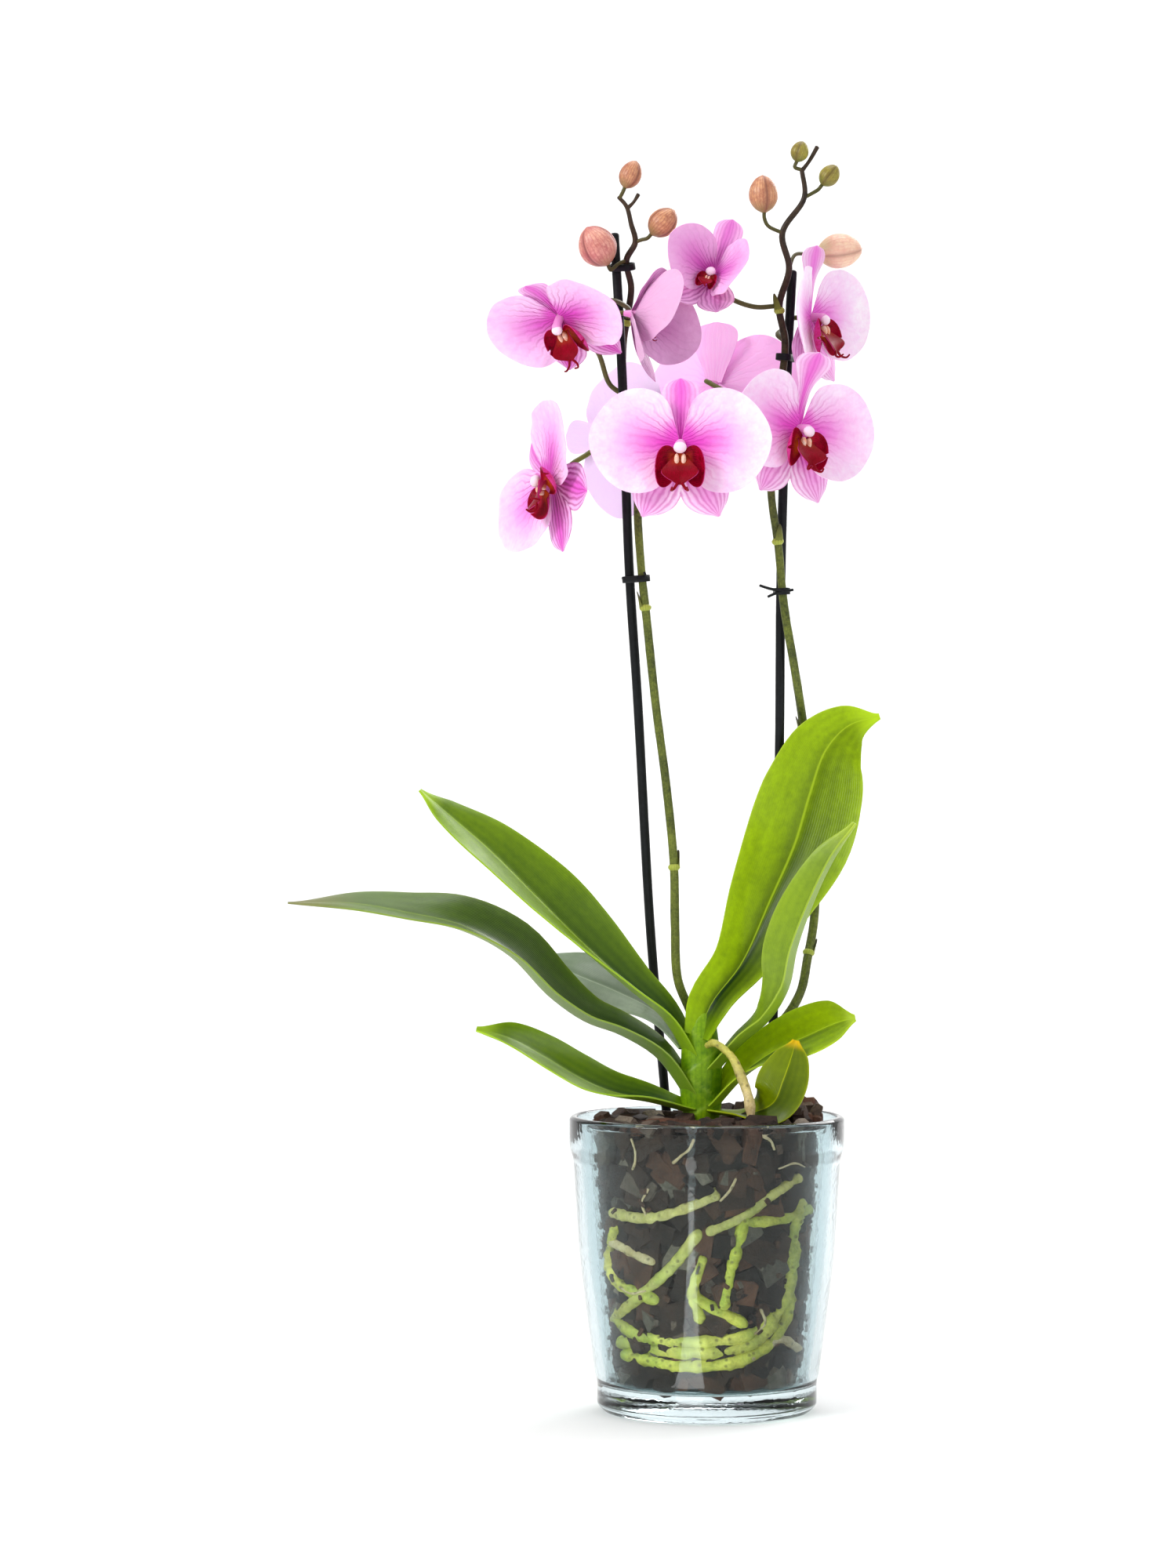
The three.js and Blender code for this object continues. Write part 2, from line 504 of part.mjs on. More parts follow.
// The lip: two side lobes that rise round the column, and a mid-lobe with two tendrils
function lip(size, cup) {
  const SIDE_WIDTHS = [4, 9, 8.8, 2.4];
  const sideLobe = (hand) => (t, v) => {
    const place = clamp(t, 0, 1) * (SIDE_WIDTHS.length - 1);
    const before = Math.min(Math.floor(place), SIDE_WIDTHS.length - 2);
    const half = THREE.MathUtils.lerp(SIDE_WIDTHS[before], SIDE_WIDTHS[before + 1], place - before);
    const turn = 1.15 * t;
    return vec(hand * (1.4 + 11.2 * Math.sin(turn)), -10.2 + 1.8 * t + v * half, 3.4 + 8 * (1 - Math.cos(turn))
      + 2.4 * v * v);
  };
  const MID_PATH = [[-6.5, 3.2, 2.6], [-15.5, 12, 5.4], [-20, 13, 1.8]]; // y, z, half width
  const midLobe = (t, v) => {
    const place = clamp(t, 0, 1) * (MID_PATH.length - 1);
    const before = Math.min(Math.floor(place), MID_PATH.length - 2);
    const [y, z, half] = [0, 1, 2].map((k) => THREE.MathUtils.lerp(MID_PATH[before][k],
      MID_PATH[before + 1][k], place - before));
    return vec(v * half, y, z + 0.25 * half * v * v);
  };
  const thirds = [0, 1 / 3, 2 / 3, 1];
  const tendril = (hand) => stem([[hand * 0.9, -19.2, 13, 0.7], [hand * 2.4, -22.5, 15, 0.6],
    [hand * 3.2, -21.5, 18.5, 0.5]], 3, 0);
  const pieces = [
    blade(thirds, [-1, 0, 1], sideLobe(1), LIP_THICKNESS),
    blade(thirds, [-1, 0, 1], sideLobe(-1), LIP_THICKNESS),
    blade([0, 0.5, 1], [-1, 0, 1], midLobe, LIP_THICKNESS),
    tendril(1), tendril(-1),
  ];
  const foot = vec(0, -6.5, 3.2);
  const seat = foot.clone().add(vec(0, 1.3 - 0.012 * cup, 0.3 + 0.09 * cup)); // a half-open bloom carries it further out
  for (const piece of pieces) {
    piece.translate(-foot.x, -foot.y, -foot.z).scale(size, size, size).translate(seat.x, seat.y, seat.z);
  }
  return join(pieces.map(solid));
}

// Each bloom: the middle of its tepals, where it faces, its roll seen from the front, and its form
const BLOOMS = [
  { at: [-74.7, -24, 554.5], facing: [-0.3, -0.62, -0.72], roll: 16, size: 0.88,
    form: { cup: 8, curl: 4, dorsalCurl: 35 } },
  { at: [3, -9, 577.5], facing: [-0.12, -0.93, 0.34], roll: -20, size: 0.78, lip: 0.62,
    form: { cup: 48, curl: 12, dorsalCurl: -10, dorsalLength: 38, width: 0.8 } },
  { at: [-37, -28, 555.5], facing: [0.96, -0.24, -0.12], roll: -20, size: 0.88, lip: 0.55,
    form: { cup: 40, curl: 14, dorsalCurl: 20, width: 0.86 } },
  { at: [53.5, 8, 558], facing: [0.85, -0.53, 0], roll: 3, size: 0.9,
    form: { cup: 14, curl: 10, spoon: true, dorsalWidth: 1.2, dorsalLength: 40, dorsalCurl: 14 } },
  { at: [-14.5, -50, 488.5], facing: [-0.05, -1, -0.05], roll: 0, size: 1, form: {} },
  { at: [46.5, -10, 499.3], facing: [0.55, -0.83, 0], roll: -8, size: 0.96,
    form: { spoon: true, dorsalLength: 42, dorsalCurl: 42 } },
  { at: [-80, -20, 473], facing: [-0.87, -0.5, 0], roll: 50, size: 0.98, form: { cup: 10, curl: 6, width: 0.85 } },
  { at: [-46.3, 40, 498.3], facing: [0.6, 0.8, 0], roll: -85, size: 0.92, form: { cup: 12 } },
  { at: [6, 48, 527], facing: [0.45, 0.88, -0.1], roll: 0, size: 1, form: { cup: 12, dorsalWidth: 1.35 } },
];

// Turns local axes (x right, y to the dorsal sepal, z forward) into the plant's
function bloomTurn({ facing, roll }) {
  const forward = vec(...facing).normalize();
  const right = vec(0, 0, 1).cross(forward).normalize();
  const up = forward.clone().cross(right);
  const level = new THREE.Matrix4().makeBasis(right, up, forward);
  return level.multiply(new THREE.Matrix4().makeRotationZ(radians(roll)));
}

function addBloom(bloom, number) {
  const group = new THREE.Group();
  group.position.set(...bloom.at);
  group.setRotationFromMatrix(bloomTurn(bloom));
  const flower = geometryOf(tepals(bloom.form)).scale(bloom.size, bloom.size, bloom.size);
  const mouth = geometryOf(lip(bloom.lip ?? LIP_SIZE, bloom.form.cup ?? 0)).scale(bloom.size, bloom.size, bloom.size);
  addMesh(`bloom_${number}`, flower, 'petal', group);
  addMesh(`bloom_lip_${number}`, mouth, 'lip', group);
  plant.add(group);
}

// ---------- buds ----------

// Each bud: its foot, the way it points, its length and its widest radius
const BUDS = [
  { foot: [-50.5, -7, 583], toward: [-0.5, -0.25, 0.85], length: 22, radius: 9.6 },
  { foot: [-28.5, -7, 598.5], toward: [0.6, -0.1, 0.6], length: 17, radius: 7 },
  { foot: [-42, -7.5, 622], toward: [0.4, 0, 0.9], length: 15, radius: 5.6 },
  { foot: [57.5, 20, 592], toward: [0.97, 0.15, 0.15], length: 24, radius: 9 },
  { foot: [29, -7, 609.5], toward: [-0.05, -0.05, 1], length: 19, radius: 7.4 },
  { foot: [58.5, -4, 624], toward: [0.6, 0, 0.75], length: 12.5, radius: 5 },
  { foot: [45.5, -6, 635.5], toward: [0.3, 0, 0.95], length: 11, radius: 4.6 },
];
const BUD_OUTLINE = [[0, 0.2], [0.12, 0.62], [0.34, 0.96], [0.56, 1], [0.78, 0.72], [0.94, 0.3]];

function addBud({ foot, toward, length, radius }, number) {
  const profile = [[0, 0], ...BUD_OUTLINE.map(([t, r]) => [r * radius, t * length]), [0, length]];
  const body = geometryOf(turned(profile, 7));
  body.scale(1, 0.92, 1);
  const mesh = addMesh(`bud_${number}`, body, 'bud');
  mesh.position.set(...foot);
  mesh.quaternion.setFromUnitVectors(vec(0, 0, 1), vec(...toward).normalize());
}

// ---------- flower spikes ----------

// Main stems, [x, y, z, radius]; the joints named below swell into rings
const SPIKE_LEFT = [
  [-3.5, 10.6, 188, 2.3], [-8.5, 12, 203, 2.3], [-14.6, 9.5, 219, 2.3], [-16, 9, 247, 2.3], [-16.6, 9, 278, 2.2],
  [-20.6, 8, 319, 2.2], [-26, 6, 360, 2.2], [-31, 4.2, 407, 2.2], [-33, 3.5, 425, 2.1], [-35, 3.4, 452, 2.1],
  [-35.5, 7, 472, 2], [-38, 12, 490, 2], [-42.5, 13, 515, 2], [-42.5, 12.5, 545, 1.9], [-40.5, 11, 558, 1.8],
  [-38.5, 5.5, 573, 1.7], [-41, -1.5, 586, 1.6], [-36.5, -4, 595, 1.5], [-38.6, -5, 604, 1.3],
  [-41, -5, 613, 1.1], [-45, -6.5, 617.5, 1],
];
const SPIKE_RIGHT = [
  [7.2, 6.6, 178, 2.4], [24, 16, 184, 2.4], [39, 22, 196, 2.4], [49, 27, 211, 2.4], [53, 30, 229, 2.4],
  [57, 38, 251, 2.3], [57, 42, 300, 2.3], [52, 36, 343, 2.3], [45, 16, 382, 2.2], [41, 10.5, 403, 2.2],
  [39, 9.5, 418, 2.1], [37, 8.6, 440, 2.1], [33, 5.6, 470, 2], [35, 2, 505, 2], [40, 0, 543, 1.9],
  [37, 0, 563, 1.8], [42, 0, 582, 1.7], [38.4, -4, 599.6, 1.6], [49.5, -5, 617.5, 1.4], [48.2, -5.5, 632, 1.2],
];
const RINGS_LEFT = [276, 409, 475, 555];
const RINGS_RIGHT = [231, 345, 442, 478, 560];

// Where each bloom's pedicel leaves the spike, with points on its way
const PEDICELS = {
  1: [[-43, 13, 519], [-49.5, 10.5, 524], [-56, 0, 540], [-68, -9, 550]],
  2: [[37, 0, 563], [24, 0, 562.5], [10, 0, 568]],
  3: [[-40.5, 11, 558], [-39.5, 2, 561], [-46, -10, 564], [-51, -18, 563]],
  4: [[40, 0, 545], [36.5, 7, 549], [40, 15, 553]],
  5: [[-35.5, 7, 472], [-28, -8, 477], [-17, -30, 486]],
  6: [[33.5, 4, 484], [35, 2, 492]],
  7: [[-38.5, 12.5, 492], [-50, 12, 494], [-62, 0, 486.5], [-70, -9, 480]],
  8: [[-41, 13, 505], [-45, 20, 504]],
  9: [[35.5, 2, 512], [27, 12, 515], [15, 28, 520]],
};

function pedicel(number) {
  const bloom = BLOOMS[number - 1];
  const forward = vec(...bloom.facing).normalize();
  const back = (distance) => vec(...bloom.at).addScaledVector(forward, -distance).toArray();
  const end = OVARY_LENGTH * bloom.size + GAP;
  const path = [...PEDICELS[number], back(end + 5), back(end)];
  return stem(path.map((p) => [...p, PEDICEL_RADIUS]), 4, 0);
}

// A bud's stalk from the spike to just under the bud's foot
function budStalk(number, from, radius = 1) {
  const { foot, toward } = BUDS[number - 1];
  const aim = vec(...toward).normalize();
  const under = (distance) => vec(...foot).addScaledVector(aim, -distance).toArray();
  return stem([...from, under(GAP + 2.5), under(GAP)].map((p) => [p[0], p[1], p[2], radius]), 4, 0);
}

// The spike's points with three more at each joint, where it swells into a ring
function ringed(points, heights) {
  return points.flatMap((low, i) => {
    const high = points[i + 1];
    const height = high && heights.find((z) => z > low[2] && z < high[2]);
    if (!height) return [low];
    const share = (height - low[2]) / (high[2] - low[2]);
    const along = vec(high[0] - low[0], high[1] - low[1], high[2] - low[2]);
    const centre = vec(...low).addScaledVector(along, share);
    along.normalize();
    const at = (distance, swell) => [...centre.clone().addScaledVector(along, distance).toArray(), low[3] + swell];
    return [low, at(-1.6, 0), at(0, 0.9), at(1.6, 0)];
  });
}

function spike(points, ringHeights, blooms, others) {
  return join([stem(ringed(points, ringHeights), 6, 0), ...blooms.map(pedicel), ...others].map(solid));
}

function spikeLeft() {
  const stub = stem([[-40.6, -5, 612, 1.1], [-37.5, -5, 615, 0.9], [-35, -5, 619, 1.1]], 4, 0);
  return spike(SPIKE_LEFT, RINGS_LEFT, [1, 3, 5, 7, 8], [
    budStalk(1, [[-41, -1.5, 586], [-45, -4, 584]]), budStalk(2, [[-36.5, -4, 595], [-33, -5.5, 596]]),
    budStalk(3, [[-44.5, -6.5, 617]]), stub,
  ]);
}

function spikeRight() {
  const stub = stem([[48.2, -5.5, 631, 1.2], [52, -5.5, 636, 1], [56, -5.5, 643, 1.2]], 4, 0);
  return spike(SPIKE_RIGHT, RINGS_RIGHT, [2, 4, 6, 9], [
    budStalk(4, [[42, 0, 582], [45.5, 8, 590]]), budStalk(5, [[38.4, -4, 599.6], [31, -6, 603]]),
    budStalk(6, [[49.5, -5, 617.5], [54, -4.5, 620]]), budStalk(7, [[48.2, -5.5, 631.5]]), stub,
  ]);
}

// ---------- stakes and clips ----------

// A clip is a band closed round the stake and the spike, with a spur on its side
function addClip(name, stake, stalk, height, spurs) {
  const axisAt = (points) => {
    const next = points.findIndex((p) => p[2] > height);
    const share = (height - points[next - 1][2]) / (points[next][2] - points[next - 1][2]);
    const [low, high] = [points[next - 1], points[next]].map((p) => vec(p[0], p[1], p[2]));
    return { centre: low.clone().lerp(high, share), along: high.sub(low).normalize() };
  };
  const [held, support] = [axisAt(stalk), axisAt(stake)];
  const middle = held.centre.clone().add(support.centre).multiplyScalar(0.5);
  const between = held.centre.clone().sub(support.centre).setZ(0);
  const spread = between.length() / 2;
  const outline = (radius) => {
    const shape = new THREE.Shape();
    shape.absarc(spread, 0, radius, -Math.PI / 2, Math.PI / 2, false);
    shape.absarc(-spread, 0, radius, Math.PI / 2, (3 * Math.PI) / 2, false);
    return shape;
  };
  const inner = STAKE_RADIUS + GAP + 0.25;
  const band = outline(inner + 1.1);
  band.holes.push(new THREE.Path(outline(inner).getPoints(3)));
  const ring = new THREE.ExtrudeGeometry(band, { depth: 3.4, bevelEnabled: false, curveSegments: 3 });
  ring.translate(0, 0, -1.7);
  const pieces = [solid(ring)];
  for (const [x, y, z] of spurs) {
    const root = vec(Math.sign(x) * (spread + inner + 0.5), 0, 0);
    const spur = stem([[root.x, 0, 0, 0.8], [(root.x + x) / 2, y * 0.6, z * 0.5, 0.7], [x, y, z, 0.6]], 3, 0);
    pieces.push(solid(spur));
  }
  const mesh = addMesh(name, geometryOf(join(pieces)), 'stake');
  mesh.position.copy(middle);
  const right = between.normalize();
  const axis = held.along.clone().add(support.along).normalize();
  const front = axis.clone().cross(right).normalize();
  mesh.setRotationFromMatrix(new THREE.Matrix4().makeBasis(front.clone().cross(axis), front, axis));
}

// ---------- assembly ----------

addMesh('glass_pot', geometryOf(glassPot()), 'glass');
addMesh('nursery_pot', geometryOf(nurseryPot()), 'liner');
addMesh('bark_medium', geometryOf(barkMedium()), 'bark');
addMesh('roots', geometryOf(rootNetwork(0)), 'root');
addMesh('aerial_root', geometryOf(seatedOnCrown(solid(stem(AERIAL_ROOT, 6, 0)))), 'root');
addMesh('crown', geometryOf(crownSolid()), 'leaf');
for (const [name, leaf] of Object.entries(LEAVES)) addMesh(name, geometryOf(leafSolid(leaf)), 'leaf');
addMesh('stake_left', geometryOf(solid(stem(STAKE_LEFT, 8, 0))), 'stake');
addMesh('stake_right', geometryOf(solid(stem(STAKE_RIGHT, 8, 0))), 'stake');
addMesh('spike_left', geometryOf(spikeLeft()), 'stem');
addMesh('spike_right', geometryOf(spikeRight()), 'stem');
addClip('clip_left_low', STAKE_LEFT, SPIKE_LEFT, 424, [[9, -2, 3], [-8, -2, 1]]);
addClip('clip_left_top', STAKE_LEFT, SPIKE_LEFT, 583, [[-8, -1, 4]]);
addClip('clip_right_low', STAKE_RIGHT, SPIKE_RIGHT, 418, [[12, -6, 1], [-9, 9, 3]]);
addClip('clip_right_top', STAKE_RIGHT, SPIKE_RIGHT, 537, [[-7, -3, -2]]);
BUDS.forEach((bud, i) => addBud(bud, i + 1));
BLOOMS.forEach((bloom, i) => addBloom(bloom, i + 1));

export default plant;
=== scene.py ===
import math
import random

import bmesh
import bpy
from mathutils import Matrix, Vector, noise


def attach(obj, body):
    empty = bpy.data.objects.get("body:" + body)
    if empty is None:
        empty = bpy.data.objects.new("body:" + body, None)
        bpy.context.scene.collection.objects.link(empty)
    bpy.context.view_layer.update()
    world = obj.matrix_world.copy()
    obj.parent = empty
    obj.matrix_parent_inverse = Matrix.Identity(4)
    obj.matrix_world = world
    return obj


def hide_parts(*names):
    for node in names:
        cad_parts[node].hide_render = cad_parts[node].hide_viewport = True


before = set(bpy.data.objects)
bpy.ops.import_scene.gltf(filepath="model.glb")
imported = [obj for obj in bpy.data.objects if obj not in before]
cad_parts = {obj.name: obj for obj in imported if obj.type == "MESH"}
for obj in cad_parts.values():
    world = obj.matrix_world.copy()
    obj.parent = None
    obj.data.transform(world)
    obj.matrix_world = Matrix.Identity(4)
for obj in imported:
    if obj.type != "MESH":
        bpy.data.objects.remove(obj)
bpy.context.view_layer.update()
bpy.context.scene.view_settings.view_transform = "Standard"

# ---------------------------------------------------------------------------------------------------------
# Glass pot: one heavy, tapered, pressed glass vessel. It has a thick base, a foot that steps in under the
# wall and a rim band that stands proud, all turned about one axis and fire-polished.


def mm(*place):
    """A place or a length given in millimetres, in metres."""
    return Vector(place) * 0.001


class Form:
    """The points and faces of one piece, with each point's place on it (across, along) and its tint, which
    holds numbers for the material."""

    def __init__(self):
        self.points, self.faces, self.places, self.tints = [], [], [], []

    def add(self, points, faces, places, tint):
        first = len(self.points)
        self.points += points
        self.faces += [tuple(first + i for i in face) for face in faces]
        self.places += places
        self.tints += tint if isinstance(tint, list) else [tint] * len(points)

    def piece(self, name, material, slot, *nodes, crease=60):
        mesh = bpy.data.meshes.new(name)
        mesh.from_pydata([mm(*p) for p in self.points], [], self.faces)
        corners = [loop.vertex_index for loop in mesh.loops]
        mesh.uv_layers.new(name="Place").data.foreach_set("uv", [c for i in corners for c in self.places[i]])
        tint = mesh.color_attributes.new("Tint", "FLOAT_COLOR", "POINT")
        tint.data.foreach_set("color", [c for t in self.tints for c in t])
        outward = bmesh.new()
        outward.from_mesh(mesh)
        bmesh.ops.recalc_face_normals(outward, faces=outward.faces)
        outward.to_mesh(mesh)
        outward.free()
        mesh.shade_smooth()
        mesh.set_sharp_from_angle(angle=math.radians(crease))
        mesh.materials.append(material)
        obj = bpy.data.objects.new(name, mesh)
        bpy.context.scene.collection.objects.link(obj)
        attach(obj, "root")
        if nodes:
            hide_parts(*nodes)
        return obj


PLAIN = (0, 0, 0, 1)  # the tint of a piece that is the same all over


def polar(radius, angle, height):
    """A place from its distance from the z axis, its direction and its height."""
    return radius * math.cos(angle), radius * math.sin(angle), height


def turned(form, profile, sides, tint=PLAIN):
    """A closed solid turned about the z axis from [radius, height] points that start and end on it."""
    inner = profile[1:-1]
    points, places = [(0, 0, profile[0][1])], [(0.5, 0)]
    for i, (radius, height) in enumerate(inner, 1):
        for j in range(sides):
            points.append(polar(radius, math.tau * j / sides, height))
            places.append((j / sides, i / len(profile)))
    points.append((0, 0, profile[-1][1]))
    places.append((0.5, 1))
    last = len(points) - 1
    faces = []
    for j in range(sides):
        k = (j + 1) % sides
        faces.append((0, 1 + k, 1 + j))
        faces.append((last, last - sides + j, last - sides + k))
        for i in range(len(inner) - 1):
            a, b = 1 + i * sides, 1 + (i + 1) * sides
            faces.append((a + j, a + k, b + k, b + j))
    form.add(points, faces, places, tint)


def rounded(profile, corner_radius, steps=5):
    """The profile with each corner, where corner_radius gives one, cut into an arc of short steps."""
    out = []
    for i, here in enumerate(profile):
        reach = corner_radius.get(i)
        if not reach:
            out.append(tuple(here))
            continue
        p, before, after = (Vector(q) for q in (here, profile[i - 1], profile[i + 1]))
        start = p + (before - p).normalized() * reach
        end = p + (after - p).normalized() * reach
        for k in range(steps + 1):
            t = k / steps
            out.append(tuple(start * (1 - t) ** 2 + p * 2 * t * (1 - t) + end * t * t))
    return out


def rgb(code):
    """A linear colour from an sRGB one, written as in #RRGGBB."""
    parts = [int(code[i : i + 2], 16) / 255 for i in (1, 3, 5)]
    return tuple(c / 12.92 if c <= 0.04045 else ((c + 0.055) / 1.055) ** 2.4 for c in parts) + (1,)


def feed(tree, node, inputs):
    """Joins each input to the socket that feeds it, or gives it a value, or a colour as in #RRGGBB."""
    for key, value in inputs.items():
        if isinstance(value, bpy.types.NodeSocket):
            tree.links.new(value, node.inputs[key])
        else:
            node.inputs[key].default_value = rgb(value) if isinstance(value, str) else value


def put(tree, kind, inputs=None, **settings):
    """Adds a shader node with its inputs and settings."""
    node = tree.nodes.new("ShaderNode" + kind)
    for key, value in settings.items():
        setattr(node, key, value)
    feed(tree, node, inputs or {})
    return node


def bumped(tree, height, strength, distance):
    """Small unevenness of the skin, distance metres deep."""
    return put(tree, "Bump", {"Strength": strength, "Distance": distance, "Height": height}).outputs[0]


def material(name):
    """A new material, its node tree and its Principled shader."""
    made = bpy.data.materials.new(name)
    made.use_nodes = True
    return made, made.node_tree, made.node_tree.nodes["Principled BSDF"]


MIRRORING = (0.28, 0.28, 0.28, 1)  # the clear walls mirror a soft room, so only part of full gloss shows


def clear_finish(name, tint, roughness, index, shadow):
    """A clear material whose shadow lets most of the light through."""
    made, tree, shader = material(name)
    unevenness = put(tree, "TexNoise", {"Scale": 60.0, "Detail": 1.0}).outputs[0]
    feed(tree, shader, {
        "Normal": bumped(tree, unevenness, 0.06, 0.0006),
        "Base Color": tint,
        "Roughness": roughness,
        "IOR": index,
        "Specular Tint": MIRRORING,
        "Transmission Weight": 1.0,
    })
    in_shadow = put(tree, "LightPath").outputs["Is Shadow Ray"]
    through = put(tree, "BsdfTransparent", {"Color": shadow}).outputs[0]
    surface = put(tree, "MixShader", {0: in_shadow, 1: shader.outputs[0], 2: through}).outputs[0]
    feed(tree, tree.nodes["Material Output"], {"Surface": surface})
    return made


POT_SIDES = 160
POT_PROFILE = [
    (0, 0), (52.5, 0), (56, 3.5), (56, 15), (57.2, 19), (60.8, 45), (65.2, 80), (68.2, 128), (70.2, 134),
    (70.2, 148.6), (68.8, 150), (66.2, 150), (60.7, 80), (55.8, 45), (52, 17), (50, 14), (0, 14),
]
# How far each corner of the profile is eased
POT_ARCS = {
    1: 1.4, 2: 1.6, 3: 2.4, 4: 2, 5: 9, 6: 9, 7: 2.4, 8: 2,
    9: 0.7, 10: 0.8, 11: 1.2, 12: 9, 13: 9, 14: 1.6, 15: 1.4,
}
# The blue-grey tint is partly the glass's own and partly painted shade, which darkens the walls and what lies
# behind them
glass = clear_finish("clear glass", "#D1DEE1", 0.0, 1.5, "#F2F8F6")
pot = Form()
turned(pot, rounded(POT_PROFILE, POT_ARCS), POT_SIDES)
pot.piece("pressed_glass_pot", glass, "clear_glass", "glass_pot", crease=35)

# ---------------------------------------------------------------------------------------------------------
# Nursery pot: the thin clear plastic pot that the plant was grown in, which stands inside the glass one. It
# is moulded in one piece, with a turned-out lip, and has drain holes in its floor.
LINER_BASE, LINER_TOP = 14.3, 144.3
LINER_SIDES = 144
LINER_PROFILE = [
    (0, LINER_BASE), (46, LINER_BASE), (51, LINER_BASE + 5), (60.7, LINER_TOP - 3), (62.6, LINER_TOP - 3),
    (62.6, LINER_TOP), (60, LINER_TOP), (50, LINER_BASE + 5.4), (45.6, LINER_BASE + 1), (0, LINER_BASE + 1),
]
LINER_ARCS = {1: 1.5, 2: 2, 3: 0.6, 4: 0.6, 5: 0.6, 6: 0.5, 7: 2, 8: 1.5}
LINER_FOOT_RADIUS, LINER_LIP_RADIUS = 50, 60
DRAINS, DRAIN_RADIUS, DRAIN_REACH, DRAIN_SIDES = 4, 4, 28, 20


def liner_radius(z):
    """Inner radius of the nursery pot at a height."""
    risen = (z - LINER_BASE) / (LINER_TOP - LINER_BASE)
    return LINER_FOOT_RADIUS + (LINER_LIP_RADIUS - LINER_FOOT_RADIUS) * risen


def ring_faces(rings, sides, closed=False):
    """Joins each ring of points to the next, and caps both ends or, if closed, joins last to first."""
    faces = []
    for i in range(rings if closed else rings - 1):
        for j in range(sides):
            k, above = (j + 1) % sides, (i + 1) % rings * sides
            faces.append((i * sides + j, i * sides + k, above + k, above + j))
    if not closed:
        faces += [tuple(range(sides - 1, -1, -1)), tuple(range((rings - 1) * sides, rings * sides))]
    return faces


def cut(obj, cutter_form):
    """Cuts the cutter's shape out of the piece."""
    mesh = bpy.data.meshes.new("cutter")
    mesh.from_pydata([mm(*p) for p in cutter_form.points], [], cutter_form.faces)
    cutter = bpy.data.objects.new("cutter", mesh)
    bpy.context.scene.collection.objects.link(cutter)
    boolean = obj.modifiers.new("holes", "BOOLEAN")
    boolean.object, boolean.solver = cutter, "EXACT"
    bpy.context.view_layer.update()
    done = bpy.data.meshes.new_from_object(obj.evaluated_get(bpy.context.evaluated_depsgraph_get()))
    obj.modifiers.clear()
    obj.data = done
    bpy.data.objects.remove(cutter)


plastic = clear_finish("clear plastic", "#FBFCFA", 0.03, 1.12, "#F6F8F5")
liner = Form()
turned(liner, rounded(LINER_PROFILE, LINER_ARCS, 3), LINER_SIDES)
liner_piece = liner.piece("clear_nursery_pot", plastic, "clear_plastic", "nursery_pot", crease=35)
drains = Form()
for i in range(DRAINS):
    points = []
    for z in (LINER_BASE - 2, LINER_BASE + 3):
        centre = Vector(polar(DRAIN_REACH, math.tau * i / DRAINS, z))
        points += [tuple(centre + Vector(polar(DRAIN_RADIUS, math.tau * k / DRAIN_SIDES, 0)))
                   for k in range(DRAIN_SIDES)]
    drains.add(points, ring_faces(2, DRAIN_SIDES), [(0, 0)] * len(points), PLAIN)
cut(liner_piece, drains)

# ---------------------------------------------------------------------------------------------------------
# Bark: chunky fir bark, damp and dark brown, with greyer and redder chips. It is poured round the roots, so
# chips of every size lie flat against the clear pot and stick up in a loose heap on top.


def mixed(tree, share, low, high):
    """A colour between two others."""
    return put(tree, "Mix", {0: share, 6: low, 7: high}, data_type="RGBA").outputs[2]


def worked(tree, operation, *values, clamped=False):
    """The result of an operation on one to three values."""
    return put(tree, "Math", dict(enumerate(values)), operation=operation, use_clamp=clamped).outputs[0]


def ranged(tree, value, taken=(0, 1), given=(0, 1), smooth=False):
    """Turns the range taken of a value into the range given, and holds it there beyond the ends."""
    ends = {0: value, 1: taken[0], 2: taken[1], 3: given[0], 4: given[1]}
    return put(tree, "MapRange", ends, interpolation_type="SMOOTHSTEP" if smooth else "LINEAR").outputs[0]


def toned(tree, colour, brightness, strength=1.0):
    """A darker form of a colour, and a stronger or weaker one."""
    change = {"Value": brightness, "Saturation": strength, "Color": colour}
    return put(tree, "HueSaturation", change).outputs[0]


def ramped(tree, share, stops):
    """A colour that runs through [place, colour] stops as the share goes from 0 to 1."""
    node = put(tree, "ValToRGB", {0: share})
    for place, _ in stops[1:-1]:
        node.color_ramp.elements.new(place)
    for element, (place, colour) in zip(node.color_ramp.elements, stops):
        element.position, element.color = place, colour
    return node.outputs[0]


def group(name, inputs, outputs):
    """A new node group with its named inputs and outputs, each with its kind of socket."""
    tree = bpy.data.node_groups.new(name, "ShaderNodeTree")
    for way, sockets in (("INPUT", inputs), ("OUTPUT", outputs)):
        for label, kind in sockets.items():
            tree.interface.new_socket(label, in_out=way, socket_type="NodeSocket" + kind)
    return tree, tree.nodes.new("NodeGroupInput").outputs, tree.nodes.new("NodeGroupOutput")


def mottle_group():
    """Two colours mixed in patches, with fine grain and a matching bump."""
    tree, given, out = group(
        "mottle",
        {"Low": "Color", "High": "Color", "Patch": "Float", "Grain": "Float", "Depth": "Float"},
        {"Color": "Color", "Height": "Float"},
    )
    where = put(tree, "TexCoord").outputs["Object"]
    patch = put(tree, "TexNoise", {"Vector": where, "Scale": given["Patch"], "Detail": 3.0, "Roughness": 0.6})
    grain = put(tree, "TexNoise", {"Vector": where, "Scale": given["Grain"], "Detail": 5.0, "Roughness": 0.7})
    both = worked(tree, "ADD", patch.outputs[0], grain.outputs[0])
    share = ranged(tree, both, (0.75, 1.25))
    colour = mixed(tree, share, given["Low"], given["High"])
    height = worked(tree, "MULTIPLY", grain.outputs[0], given["Depth"])
    feed(tree, out, {"Color": colour, "Height": height})
    return tree


MOTTLE = mottle_group()


